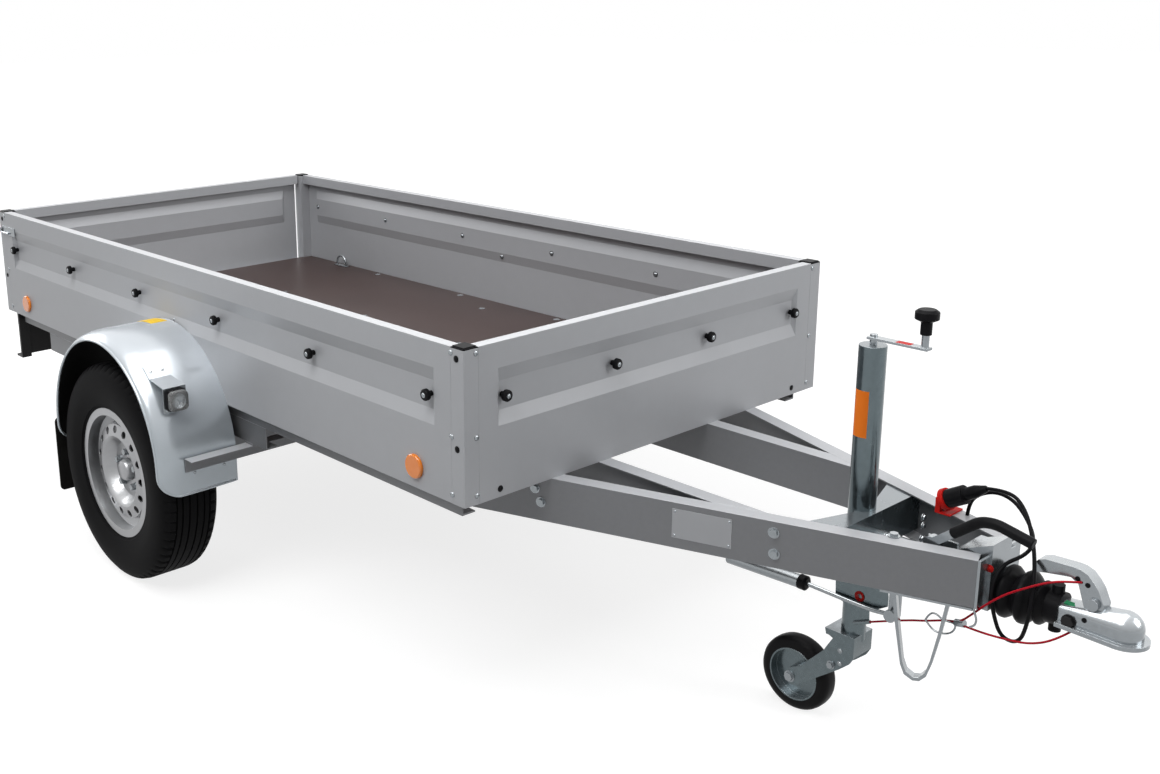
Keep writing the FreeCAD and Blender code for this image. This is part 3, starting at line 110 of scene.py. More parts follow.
# %% Camera
camera_place = Vector((2.7248, -2.4408, 1.6917))
camera_aim = Vector((0.127, -0.2585, 0.8319))
camera_roll = math.radians(0.92)


def new_object(name, data):
    """An object in the scene that shows a mesh, a curve, a lamp or a camera."""
    made = bpy.data.objects.new(name, data)
    bpy.context.scene.collection.objects.link(made)
    return made


def looking(place, target):
    """The matrix of a camera or lamp that stands at a place and points at a target."""
    turn = (target - place).to_track_quat("-Z", "Y").to_matrix().to_4x4()
    return Matrix.Translation(place) @ turn


camera_data = bpy.data.cameras.new("camera")
camera_data.lens = 39.99
camera_data.sensor_width = 36.0
camera_data.shift_x = 0.1211
camera_data.shift_y = -0.0618
camera = new_object("camera", camera_data)
camera.matrix_world = looking(camera_place, camera_aim) @ Matrix.Rotation(-camera_roll, 4, "Z")
bpy.context.scene.camera = camera
print("camera:", [round(c, 3) for c in camera_place])

# %% [markdown]
# ## Light, floor and background
# The main lamp is high on the near side, and softer ones stand above, in front and behind.
# The background is white to the camera, to mirror-like rays and through glass, and to nothing
# else, so it lights nothing by itself. The floor is a middle grey under that white, so that it
# doesn't light the walls from below.


# %% Node helpers
def fill(tree, node, *entries, **values):
    """Sets a node's properties and its inputs, by name or in order.

    An input is linked where its value is another node or a (node, output) pair.
    """
    for name, value in (*values.items(), *enumerate(entries)):
        if hasattr(node, str(name)):
            setattr(node, name, value)
            continue
        entry = node.inputs[name if isinstance(name, int) else name.replace("_", " ")]
        if isinstance(value, bpy.types.Node):
            value = (value, 0)
        if isinstance(value, tuple) and len(value) == 2:
            tree.links.new(value[0].outputs[value[1]], entry)
        else:
            entry.default_value = value
    return node


def add(tree, kind, *entries, **values):
    """Adds a node and fills it."""
    return fill(tree, tree.nodes.new(kind), *entries, **values)


def calc(tree, operation, *entries):
    """A calculation with numbers."""
    return add(tree, "ShaderNodeMath", *entries, operation=operation)


def mix(tree, factor, low, high, kind="RGBA"):
    """A blend of two colours, or of two numbers."""
    return add(tree, "ShaderNodeMix", data_type=kind, Factor=factor, A=low, B=high), "Result"


def ramp_of(tree, factor, stops):
    """A colour ramp with (place, grey or colour) stops."""
    ramp = add(tree, "ShaderNodeValToRGB", factor)
    elements = ramp.color_ramp.elements
    while len(elements) < len(stops):
        elements.new(0.5)
    for element, (place, value) in zip(elements, stops):
        element.position = place
        shade = (value,) * 3 if isinstance(value, (int, float)) else value
        element.color = (*shade, 1.0)
    return ramp


def background_rays(tree):
    """1 for the rays that see the background: from the camera, off metal and through glass."""
    rays = add(tree, "ShaderNodeLightPath")
    seen = (rays, "Is Camera Ray")
    for name in ("Is Glossy Ray", "Is Transmission Ray"):
        seen = calc(tree, "MAXIMUM", seen, (rays, name))
    return seen


def new_finish(name):
    """A material with its tree, its shader and a place in the object's own coordinates."""
    finish = bpy.data.materials.new(name)
    finish.use_nodes = True
    tree = finish.node_tree
    return finish, tree, tree.nodes["Principled BSDF"], (add(tree, "ShaderNodeTexCoord"), "Object")


# %% World and floor
world = bpy.data.worlds.new("studio")
bpy.context.scene.world = world
world.use_nodes = True
tree = world.node_tree
tree.nodes.clear()
white = (1.0, 1.0, 1.0, 1.0)
ray = add(tree, "ShaderNodeSeparateXYZ", (add(tree, "ShaderNodeTexCoord"), "Generated"))
height = add(tree, "ShaderNodeMapRange", (ray, "Z"), From_Min=-1.0, From_Max=1.0)
sky = ramp_of(tree, height, [(0.0, 0.22), (0.46, 0.26), (0.54, 0.42), (0.75, 0.8), (1.0, 1.0)])
shown = add(tree, "ShaderNodeMixShader", background_rays(tree),
            add(tree, "ShaderNodeBackground", sky, 0.2),
            add(tree, "ShaderNodeBackground", white, 1.0))
add(tree, "ShaderNodeOutputWorld", shown)

floor_half = 30.0
floor_mesh = bpy.data.meshes.new("floor")
floor_mesh.from_pydata([(x * floor_half, y * floor_half, 0)
                        for x, y in ((-1, -1), (1, -1), (1, 1), (-1, 1))], [], [(0, 1, 2, 3)])
floor = new_object("floor", floor_mesh)
floor_finish, tree, shader, place = new_finish("pale floor")
distance = add(tree, "ShaderNodeVectorMath", place, operation="LENGTH")
fade = add(tree, "ShaderNodeMapRange", (distance, "Value"), From_Min=1.6, From_Max=3.4,
           To_Min=0.8, To_Max=1.0)
fill(tree, shader, Base_Color=(0.30, 0.30, 0.30, 1.0), Roughness=0.9, Specular_IOR_Level=0.0,
     Emission_Color=white, Emission_Strength=calc(tree, "MULTIPLY", fade, background_rays(tree)))
floor_mesh.materials.append(floor_finish)

# %% Lamps
trailer_middle = Vector((0.0, 0.0, 0.5))
for name, place, size, power in (("overhead lamp", (0.3, 0.0, 5.0), 4.0, 110.0),
                                 ("near lamp", (0.6, -3.2, 4.6), 3.0, 160.0),
                                 ("front lamp", (5.0, 2.0, 3.0), 2.5, 120.0),
                                 ("rear lamp", (-6.0, -1.5, 3.0), 2.5, 100.0)):
    lamp_data = bpy.data.lights.new(name, "AREA")
    lamp_data.size = size
    lamp_data.energy = power
    new_object(name, lamp_data).matrix_world = looking(Vector(place), trailer_middle)
print("lamps:", len(bpy.data.lights))

# %% [markdown]
# ## Cords
# Two kinds of cord hang at the nose: the black lighting lead between the drawbar and its parked
# plug, and the thin red cable that pulls the brake if the trailer breaks away. A cord keeps its
# real length, so each is one smooth curve through the places where it really runs. The routes
# are the same points as in the solids, and the curve rounds them off.

# %% Cord routes
lead_radius = 4.0 * MM
cable_radius = 2.3 * MM
lead_points = [ahead(x, y, z) for x, y, z in (
    (764, 118, 560), (766, 118, 590), (786, 117, 616), (828, 110, 636), (880, 84, 638),
    (930, 42, 622), (958, 18, 594), (950, 6, 564), (922, -42, 548), (916, -66, 499),
    (924, -60, 448), (938, -48, 396), (978, -52, 398), (997, -66, 455), (997, -58, 506),
    (988, -36, 550), (964, 0, 598), (920, 46, 645), (870, 76, 660), (814.3, 92, 643.5))]
cable_points = [ahead(x, y, z) for x, y, z in (
    (649, -50, 318), (736, -54, 358), (779, -56, 373), (824, -58, 393), (857, -60, 402),
    (890, -72, 439), (917, -75, 471), (950, -74, 503), (979, -66, 523), (1015, -50, 544),
    (1041, -34, 552), (1071, -16, 554))]
loop_points = [ahead(x, y, z) for x, y, z in (
    (857, -60, 397), (900, -63, 398), (950, -68, 405), (1000, -60, 409), (1042, -42, 427),
    (1071, -26.6, 457))]


def cord_curve(name, points, radius):
    """A round cord whose line is drawn smoothly along its route."""
    data = bpy.data.curves.new(name, "CURVE")
    data.dimensions = "3D"
    data.bevel_depth = radius
    data.bevel_resolution = 4
    data.resolution_u = 12
    data.use_fill_caps = True
    spline = data.splines.new("NURBS")
    spline.points.add(len(points) - 1)
    for target, point in zip(spline.points, points):
        target.co = (*point, 1.0)
    spline.order_u = 3
    spline.use_endpoint_u = True
    return new_object(name, data)


def line_length(cord):
    """The length of a cord's line, from the points that its spline gives without its bevel."""
    bare = cord.data.copy()
    bare.bevel_depth = 0.0
    probe = new_object("probe", bare)
    line = bpy.data.meshes.new_from_object(probe)
    length = sum((line.vertices[a].co - line.vertices[b].co).length
                 for a, b in (edge.vertices for edge in line.edges))
    bpy.data.objects.remove(probe)
    bpy.data.meshes.remove(line)
    bpy.data.curves.remove(bare)
    return length


lead = cord_curve("lighting_lead", lead_points, lead_radius)
cable = cord_curve("red_cable", cable_points, cable_radius)
cable_loop = cord_curve("red_cable_loop", loop_points, cable_radius)
for cord in (lead, cable, cable_loop):
    print(cord.name, "is", round(line_length(cord), 3), "m long")

# %% [markdown]
# ## Shader groups
# Nothing real has one even colour. Dipped zinc dries in soft patches, moulded rubber has a
# pebbled grain, and dust settles low down. Each effect is used on several finishes, so each
# is a node group that is built once and placed with other values.

# %% Shader group helper
FLOAT, COLOR, VECTOR = "NodeSocketFloat", "NodeSocketColor", "NodeSocketVector"
look = {"Color": COLOR, "Roughness": FLOAT}
placed = {"Vector": VECTOR, **look}


def node_group(name, kind, inputs, outputs):
    """An empty group with named sockets; returns its tree and its two end nodes."""
    group = bpy.data.node_groups.new(name, kind)
    for way, sockets in (("INPUT", inputs), ("OUTPUT", outputs)):
        for label, socket in sockets.items():
            group.interface.new_socket(name=label, in_out=way, socket_type=socket)
    return group, group.nodes.new("NodeGroupInput"), group.nodes.new("NodeGroupOutput")


# %% [markdown]
# ### Zinc patches
# Two noises of different size lighten and darken the metal, and the same patches are a little
# smoother or rougher, so that the gloss breaks up as it does on dipped or rolled zinc.

# %% Zinc patches
tree, given, result = node_group(
    "zinc patches", "ShaderNodeTree", {**placed, "Patch Scale": FLOAT, "Contrast": FLOAT},
    {**look, "Height": FLOAT})
patch_scale = (given, "Patch Scale")
large = add(tree, "ShaderNodeTexNoise", Vector=(given, "Vector"), Scale=patch_scale, Detail=4.0,
            Roughness=0.6)
small = add(tree, "ShaderNodeTexNoise", Vector=(given, "Vector"), Detail=2.0, Roughness=0.5,
            Scale=calc(tree, "MULTIPLY", patch_scale, 9.0))
both_noises = calc(tree, "ADD", large, small)
centred = calc(tree, "SUBTRACT", both_noises, 1.0)
swing = calc(tree, "MULTIPLY", centred, (given, "Contrast"))
tint = add(tree, "ShaderNodeVectorMath", (given, "Color"), operation="SCALE",
           Scale=calc(tree, "ADD", swing, 1.0))
fill(tree, result, Color=tint, Height=both_noises,
     Roughness=calc(tree, "MULTIPLY_ADD", swing, 0.8, (given, "Roughness")))
zinc_patches = tree

# %% [markdown]
# ### Road dust
# Dust is a thin brownish grey film. It is thickest near the ground and is broken up by noise,
# so a mask falls from 1 at the ground to 0 at a chosen height. It dulls the gloss as well.

# %% Road dust
dust_shade = (0.19, 0.17, 0.15, 1.0)
tree, given, result = node_group(
    "road dust", "ShaderNodeTree", {**placed, "Height": FLOAT, "Amount": FLOAT}, look)
place = add(tree, "ShaderNodeSeparateXYZ", (given, "Vector"))
fall = add(tree, "ShaderNodeMapRange", (place, "Z"), From_Max=(given, "Height"),
           To_Min=1.0, To_Max=0.0)
noise = add(tree, "ShaderNodeTexNoise", Vector=(given, "Vector"), Scale=7.0, Detail=6.0,
            Roughness=0.65)
broken = calc(tree, "MULTIPLY", fall, noise)
mask = calc(tree, "MULTIPLY", broken, (given, "Amount"))
fill(tree, result, Color=mix(tree, mask, (given, "Color"), dust_shade),
     Roughness=mix(tree, mask, (given, "Roughness"), 0.85, "FLOAT"))
road_dust = tree

# %% [markdown]
# ### Moulded grain
# Moulded rubber and plastic have a fine pebbled skin, and handling leaves paler rubs on it.

# %% Moulded grain
rub_shade = (0.12, 0.12, 0.12, 1.0)
tree, given, result = node_group(
    "moulded grain", "ShaderNodeTree", {**placed, "Grain Scale": FLOAT, "Rub": FLOAT},
    {**look, "Height": FLOAT})
pebble = add(tree, "ShaderNodeTexVoronoi", feature="SMOOTH_F1", Vector=(given, "Vector"),
             Scale=(given, "Grain Scale"))
noise = add(tree, "ShaderNodeTexNoise", Vector=(given, "Vector"), Scale=18.0, Detail=5.0)
rub_mask = ramp_of(tree, noise, [(0.45, 0.0), (0.75, 1.0)])
rubbed = calc(tree, "MULTIPLY", rub_mask, (given, "Rub"))
fill(tree, result, Height=pebble, Color=mix(tree, rubbed, (given, "Color"), rub_shade),
     Roughness=calc(tree, "MULTIPLY_ADD", rubbed, 0.25, (given, "Roughness")))
moulded_grain = tree
print("shader groups:", [group.name for group in bpy.data.node_groups])

# %% [markdown]
# ## Finishes
# A finish is a Principled BSDF whose colour, roughness and bump come from the groups above.
# Two functions cover nearly everything here: one for metals and one for mouldings.


# %% Finish helpers
def weathered(name, group, dust, dust_height, bump, depth, **values):
    """A finish whose colour, gloss and relief come from a group, under a film of dust."""
    finish, tree, shader, place = new_finish(name)
    skin = add(tree, "ShaderNodeGroup", node_tree=group, Vector=place, **values)
    film = add(tree, "ShaderNodeGroup", node_tree=road_dust, Vector=place, Height=dust_height,
               Amount=dust, Color=(skin, "Color"), Roughness=(skin, "Roughness"))
    relief = add(tree, "ShaderNodeBump", Strength=bump, Distance=depth, Height=(skin, "Height"))
    fill(tree, shader, Base_Color=(film, "Color"), Roughness=(film, "Roughness"), Normal=relief)
    return finish, tree, shader, film


def upwardness(tree):
    """How far a face looks up: 1 for a floor and 0 for a wall."""
    return add(tree, "ShaderNodeSeparateXYZ", (add(tree, "ShaderNodeNewGeometry"), "Normal")), "Z"


def metal(name, color, roughness, metallic, patch, contrast, dust=0.1, bump=0.01, specular=0.5,
          painted_sky_colour=None):
    """A zinc-coated or painted metal with patches in its coat and dust near the ground.

    Its faces that look up shade into a lighter colour, a painted reflection of the sky.
    """
    finish, tree, shader, film = weathered(
        name, zinc_patches, dust, 0.7, bump, 0.001, Color=(*color, 1.0), Roughness=roughness,
        Patch_Scale=patch, Contrast=contrast)
    fill(tree, shader, Metallic=metallic, Specular_IOR_Level=specular)
    if painted_sky_colour:
        # Painted sky reflection: faces that look up are mixed towards a lighter colour.
        painted_sky_mask = ramp_of(tree, upwardness(tree), [(0.12, 0.0), (0.9, 1.0)])
        fill(tree, shader, Base_Color=mix(tree, painted_sky_mask, (film, "Color"), (*painted_sky_colour, 1.0)))
    return finish


def moulding(name, color, roughness, grain, rub=0.0, bump=0.03, dust=0.0, coat=0.0):
    """Rubber or plastic with a pebbled skin, rubs and dust."""
    finish, tree, shader, _ = weathered(
        name, moulded_grain, dust, 0.6, bump, 0.0004, Color=(*color, 1.0), Roughness=roughness,
        Grain_Scale=grain, Rub=rub)
    fill(tree, shader, Coat_Weight=coat, Specular_IOR_Level=0.06)
    return finish


# %% [markdown]
# ### Metals
# The walls are rolled sheet with a satin coat, the drawbar and chassis are dipped and duller,
# and bolts, jack and coupling are plated and bright, though the jack's plate is a darker copy
# that paints in a dark reflection. They differ in roughness and in the size of their patches,
# and each has a painted sky reflection: a lighter colour for the faces that look up.

# %% Metals
sheet_zinc = metal("satin zinc sheet", (0.40, 0.41, 0.43), 0.42, 0.1, 3.0, 0.05,
                   specular=0.35, painted_sky_colour=(0.62, 0.63, 0.65))
profile_zinc = metal("dull dipped zinc", (0.17, 0.175, 0.185), 0.42, 0.3, 9.0, 0.12, dust=0.15,
                     painted_sky_colour=(0.50, 0.51, 0.53))
fender_zinc = metal("bright fender zinc", (0.38, 0.42, 0.45), 0.22, 0.5, 5.0, 0.05,
                    painted_sky_colour=(0.66, 0.70, 0.74))
plated = metal("bright zinc plate", (0.24, 0.26, 0.275), 0.2, 0.8, 14.0, 0.2, bump=0.02,
               painted_sky_colour=(0.58, 0.61, 0.63))
# A darker copy of the zinc plate for the jack, whose dark base is a painted dark reflection.
plated_painted_dark = metal("zinc plate painted darker", (0.10, 0.125, 0.135), 0.2, 0.85, 10.0, 0.35,
                    painted_sky_colour=(0.40, 0.43, 0.45))
wheel_paint = metal("silver wheel paint", (0.30, 0.305, 0.315), 0.30, 0.8, 40.0, 0.08,
                    painted_sky_colour=(0.60, 0.61, 0.62))
black_steel = metal("satin black steel", (0.008, 0.008, 0.009), 0.45, 0.0, 20.0, 0.2,
                    specular=0.2)

# %% [markdown]
# ### Rubber and plastic
# All of the mouldings are nearly black. What tells them apart is how they shine: the bellows
# and cords are soft and slightly glossy, the tyre is dull, and the knobs are hard and smooth.

# %% Mouldings
tyre_rubber = moulding("tyre rubber", (0.004, 0.004, 0.0045), 0.7, 300.0, 0.01, 0.2, 0.01)
soft_rubber = moulding("bellows rubber", (0.005, 0.005, 0.006), 0.4, 500.0, 0.04, 0.1, 0.03)
flap_rubber = moulding("mudflap rubber", (0.006, 0.006, 0.006), 0.6, 250.0, 0.04, 0.2, 0.08)
hard_plastic = moulding("hard black plastic", (0.006, 0.006, 0.007), 0.34, 900.0, 0.05, 0.1)
grip_plastic = moulding("grip plastic", (0.007, 0.007, 0.008), 0.4, 300.0, 0.05, 0.2)
red_plastic = moulding("red plastic", (0.55, 0.015, 0.012), 0.32, 900.0, 0.0, 0.05, 0.1)
cable_red = moulding("red cable sheath", (0.48, 0.008, 0.02), 0.3, 900.0, 0.0, 0.05, 0.1)
label_orange = moulding("orange label", (0.86, 0.20, 0.02), 0.4, 700.0)
label_yellow = moulding("yellow label", (0.86, 0.56, 0.03), 0.4, 700.0)
label_green = moulding("green spot", (0.02, 0.30, 0.12), 0.4, 700.0)
amber_lens = moulding("amber lens", (0.90, 0.24, 0.012), 0.14, 260.0, bump=0.35, coat=1.0)

# %% [markdown]
# ### Film-faced plywood
# The floor is birch plywood pressed with dark brown resin film. Seen from above it is even and
# half matt, with a faint fine mesh; at the edges the plies show as stripes. A wave texture that
# only runs with height makes the plies, and it shows only where the face points sideways.

# %% Plywood
plywood, tree, shader, place = new_finish("film-faced plywood")
film_noise = add(tree, "ShaderNodeTexNoise", Vector=place, Scale=5.0, Detail=6.0)
film_shade = ramp_of(tree, film_noise,
                     [(0.0, (0.044, 0.024, 0.021)), (1.0, (0.066, 0.039, 0.034))])
height = add(tree, "ShaderNodeSeparateXYZ", place)
ply_thickness, ply_stretch = 0.0011, 900.0
ply_wave = calc(tree, "PINGPONG", (height, "Z"), ply_thickness)
ply_shade = ramp_of(tree, calc(tree, "MULTIPLY", ply_wave, ply_stretch),
                    [(0.0, (0.22, 0.13, 0.07)), (1.0, (0.09, 0.045, 0.02))])
film_mesh = add(tree, "ShaderNodeTexVoronoi", Vector=place, Scale=260.0)
fill(tree, shader, Roughness=0.36,
     Base_Color=mix(tree, calc(tree, "ABSOLUTE", upwardness(tree)), ply_shade, film_shade),
     Normal=add(tree, "ShaderNodeBump", Strength=0.08, Distance=0.0004, Height=film_mesh))

# %% [markdown]
# ### Clear lens
# The front lamps are clear mouldings over a bright reflector, and only the surface of the
# glass has a fine bump.

# %% Clear lens
clear_lens, tree, shader, place = new_finish("clear lamp lens")
ribs = add(tree, "ShaderNodeTexWave", Vector=place, Scale=60.0)
relief = add(tree, "ShaderNodeBump", Strength=0.15, Distance=0.0005, Height=(ribs, "Fac"))
fill(tree, shader, Base_Color=(0.92, 0.94, 0.95, 1.0), Transmission_Weight=0.85, Roughness=0.06,
     IOR=1.49, Normal=relief)

finish_of = {
    "galvanised_sheet": sheet_zinc, "galvanised_profile": profile_zinc, "zinc_plate": plated,
    "fender_steel": fender_zinc, "film_plywood": plywood, "black_plastic": hard_plastic,
    "black_rubber": soft_rubber, "black_steel": black_steel, "tyre": tyre_rubber,
    "wheel_silver": wheel_paint, "amber_plastic": amber_lens, "red_plastic": red_plastic,
    "clear_plastic": clear_lens}
slot_of = {finish.name: slot for slot, finish in finish_of.items()}
for finish, slot in ((plated_painted_dark, "zinc_plate"), (flap_rubber, "black_rubber"),
                     (grip_plastic, "black_plastic"), (label_green, "black_plastic"),
                     (label_orange, "amber_plastic"), (label_yellow, "amber_plastic"),
                     (cable_red, "red_plastic")):
    slot_of[finish.name] = slot
print("finishes:", len(bpy.data.materials))

# %% [markdown]
# ## Softer edges on the solids
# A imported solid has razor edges, and its round faces are flat strips. A folded or cast edge
# catches a line of light, so most nodes get a copy with merged vertices, smooth shading and a
# narrow bevel. The copy stands for the node, which stays in the model for collision. On the
# walls even a slope of 2 degrees stays sharp, or their shallow pressed recess wouldn't show.


# %% Dress a node
def plain(piece):
    """Turns a piece's modifiers into a plain mesh."""
    graph = bpy.context.evaluated_depsgraph_get()
    mesh = bpy.data.meshes.new_from_object(piece.evaluated_get(graph))
    piece.modifiers.clear()
    piece.data = mesh
    return piece


def declare(piece, finish, body):
    """Gives a piece its finish as its one material, and the body that it rides on."""
    piece.data.materials.clear()
    piece.data.materials.append(finish)
    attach(piece, body)
    return piece


def show(work, name, smooth, finish, body):
    """Puts an edited mesh in the scene, sharp where its faces meet at more than an angle."""
    mesh = bpy.data.meshes.new(name)
    work.to_mesh(mesh)
    work.free()
    if "custom_normal" in mesh.attributes:
        mesh.attributes.remove(mesh.attributes["custom_normal"])
    mesh.polygons.foreach_set("use_smooth", [True] * len(mesh.polygons))
    mesh.set_sharp_from_angle(angle=math.radians(smooth))
    return declare(new_object(name, mesh), finish, body)


def dressed(name, finish=None, bevel=0.8, smooth=35.0, segments=2, soft=35.0):
    """A copy of a node that rides on its body and stands for it.

    Its edges get a narrow bevel where they are steeper than the angle soft, and stay sharp in
    the shading where they are steeper than the angle smooth.
    """
    node = nodes[name]
    work = bmesh.new()
    work.from_mesh(node.data)
    bmesh.ops.remove_doubles(work, verts=work.verts, dist=2e-6)
    bmesh.ops.dissolve_limit(work, angle_limit=math.radians(0.6), verts=work.verts,
                             edges=work.edges)
    piece = show(work, "dressed_" + name, smooth, finish or finish_of[slots[name]], node["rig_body"])
    if bevel:
        edge = piece.modifiers.new("edge", "BEVEL")
        edge.width = bevel * MM
        edge.segments = segments
        edge.limit_method = "ANGLE"
        edge.angle_limit = math.radians(soft)
        edge.harden_normals = True
        plain(piece)
    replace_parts(piece, name)
    return piece


for names, options in (
        ("jack_outer_tube jack_inner_tube jack_bracket jack_fork", {"finish": plated_painted_dark}),
        ("side_panel_right side_panel_left front_panel tailgate", {"smooth": 2.0, "soft": 2.0}),
        ("corner_posts drawbar_beam_right drawbar_beam_left bed_frames axle_beams chassis_rails "
         "cross_members axle_tube axle_arm_right axle_arm_left fender_bars lamp_brackets "
         "tailgate_latches lamp_carriers jack_crank coupling brake_strut support_loop "
         "handbrake_lever hinge_pins floor_board draw_tube overrun_housing", {}),
        ("post_caps tarp_knobs tailgate_knobs crank_knob plug_holder plug",
         {"bevel": 1.2, "segments": 3}),
        ("side_reflectors rear_lamps bellows jack_wheel_tyre", {"bevel": 1.5, "segments": 3}),
        ("rim_right rim_left brake_drum_right brake_drum_left", {"bevel": 0.6}),
        ("jack_wheel_rim", {"finish": plated_painted_dark, "bevel": 0.6}),
        ("handbrake_grip", {"finish": grip_plastic, "bevel": 2.5, "segments": 3}),
        ("coupling_handle", {"bevel": 3.0, "segments": 3}),
        ("tie_down_loops", {"bevel": 0.0})):
    for name in names.split():
        dressed(name, **options)

# %% [markdown]
# ## Cords in their places
# The curves from the start are now given their finish and stand for the solids of the cords.
# What hangs on them goes with them: the plug on the lead, and the clip on the red cable.

for cord, finish, stands_for in ((lead, soft_rubber, "lead"),
                                 (cable, cable_red, "breakaway_cable"),
                                 (cable_loop, cable_red, "breakaway_loop")):
    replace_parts(declare(cord, finish, "trailer"), stands_for)
cable_clip = dressed("cable_clip", plated, bevel=1.5)
line_length(lead)
line_length(cable)
line_length(cable_loop)

# %% [markdown]
# ## Skins over outlines
# Tyres, fenders, caps, lenses and stickers are all made in one way: an outline is repeated along
# a path or round an axis, and a skin joins each outline to the next.


# %% Skin helpers
def skinned(name, rings, finish, body="trailer", closed=False, smooth=30.0):
    """A skin over equal rings of points, joined in a circle or with a face at each end."""
    work = bmesh.new()
    loops = [[work.verts.new(point) for point in ring] for ring in rings]
    pairs = list(zip(loops, loops[1:]))
    if closed:
        pairs.append((loops[-1], loops[0]))
    else:
        work.faces.new(loops[0])
        work.faces.new(loops[-1])
    for low, high in pairs:
        for j in range(len(low)):
            k = (j + 1) % len(low)
            work.faces.new((low[j], low[k], high[k], high[j]))
    bmesh.ops.remove_doubles(work, verts=work.verts, dist=1e-6)
    bmesh.ops.recalc_face_normals(work, faces=work.faces)
    return show(work, name, smooth, finish, body)


def turned(name, profile, centre, axis, finish, body="trailer", steps=40):
    """Turns an (along, radius) outline in millimetres about an axis through a place."""
    facing = axis.to_track_quat("Z", "Y")
    rings = []
    for index in range(steps):
        turn = 2 * math.pi * index / steps
        rings.append([centre + facing @ Vector((r * math.cos(turn), r * math.sin(turn), a)) * MM
                      for a, r in profile])
    return skinned(name, rings, finish, body, closed=True)


def plate(name, corners, outward, thickness, finish):
    """A thin flat plate that stands on its corner points."""
    skinned(name, [corners, [corner + outward * thickness * MM for corner in corners]], finish)


def wrapped(name, place, radius, start, end, low, high, finish):
    """A sticker round a curved surface, where place(turn, radius, along) gives its points."""
    steps, film = 12, 0.4
    rings = []
    for index in range(steps + 1):
        turn = math.radians(start + (end - start) * index / steps)
        rings.append([place(turn, r, along) for r, along in (
            (radius, low), (radius + film, low), (radius + film, high), (radius, high))])
    skinned(name, rings, finish)


def wire(name, points, radius, finish):
    """A bent wire or a rolled edge."""
    line = cord_curve("line_of_" + name, points, radius)
    mesh = bpy.data.meshes.new_from_object(line)
    bpy.data.objects.remove(line)
    declare(new_object(name, mesh), finish, "trailer")


def mirrored(rings, side):
    """The rings of the right side, or for side -1 the same on the left."""
    return [[place * Vector((1, side, 1)) for place in ring] for ring in rings]


def rounded_outline(half_across, half_up, corner, steps=5):
    """(across, up) points of a rectangle with round corners."""
    points = []
    for quarter, (across, up) in enumerate(((1, 1), (-1, 1), (-1, -1), (1, -1))):
        for index in range(steps + 1):
            turn = math.pi / 2 * (quarter + index / steps)
            points.append((across * (half_across - corner) + corner * math.cos(turn),
                           up * (half_up - corner) + corner * math.sin(turn)))
    return points


# %% [markdown]
# ## Bolts, rivets and screws
# A trailer is held together by dozens of small heads. They all follow one rule, a head that
# stands on a surface and faces along its normal, so one Geometry Nodes tree makes them. It
# takes a mesh of bare points, each with an outward direction, and puts a head on each.


# %% Fastener tree
def raised(tree, mesh, height):
    """The same mesh, moved up."""
    way = add(tree, "ShaderNodeCombineXYZ", Z=height)
    return add(tree, "GeometryNodeTransform", Geometry=mesh, Translation=way)


GEOMETRY = "NodeSocketGeometry"
tree, given, result = node_group(
    "fastener heads", "GeometryNodeTree",
    {"Geometry": GEOMETRY, "Head Radius": FLOAT, "Head Height": FLOAT, "Washer Radius": FLOAT,
     "Washer Height": FLOAT, "Sides": "NodeSocketInt", "Round Head": "NodeSocketBool",
     "Finish": "NodeSocketMaterial"}, {"Geometry": GEOMETRY})
radius, height = (given, "Head Radius"), (given, "Head Height")
washer_height = (given, "Washer Height")
head = add(tree, "GeometryNodeMeshCylinder", Vertices=(given, "Sides"), Radius=radius, Depth=height)
head = raised(tree, head, calc(tree, "MULTIPLY_ADD", height, 0.5, washer_height))
washer = add(tree, "GeometryNodeMeshCylinder", Vertices=24, Radius=(given, "Washer Radius"),
             Depth=washer_height)
washer = raised(tree, washer, calc(tree, "MULTIPLY", washer_height, 0.5))
stretch = add(tree, "ShaderNodeCombineXYZ", radius, radius, height)
dome = add(tree, "GeometryNodeMeshUVSphere", Segments=16, Rings=8, Radius=1.0)
dome = add(tree, "GeometryNodeTransform", Geometry=dome, Scale=stretch)
dome = add(tree, "GeometryNodeSetShadeSmooth", Geometry=dome)
head = add(tree, "GeometryNodeSwitch", input_type="GEOMETRY", Switch=(given, "Round Head"),
           **{"False": head, "True": dome})
whole = add(tree, "GeometryNodeJoinGeometry", head)
fill(tree, whole, washer)
outward = add(tree, "GeometryNodeInputNamedAttribute", data_type="FLOAT_VECTOR", Name="outward")
facing = add(tree, "FunctionNodeAlignRotationToVector", axis="Z", Vector=(outward, "Attribute"))
heads = add(tree, "GeometryNodeInstanceOnPoints", Points=(given, "Geometry"), Instance=whole,
            Rotation=facing)
heads = add(tree, "GeometryNodeRealizeInstances", heads)
fill(tree, result, add(tree, "GeometryNodeSetMaterial", Geometry=heads, Material=(given, "Finish")))
heads_tree = tree
head_inputs = {item.name: item.identifier for item in tree.interface.items_tree
               if item.in_out == "INPUT"}


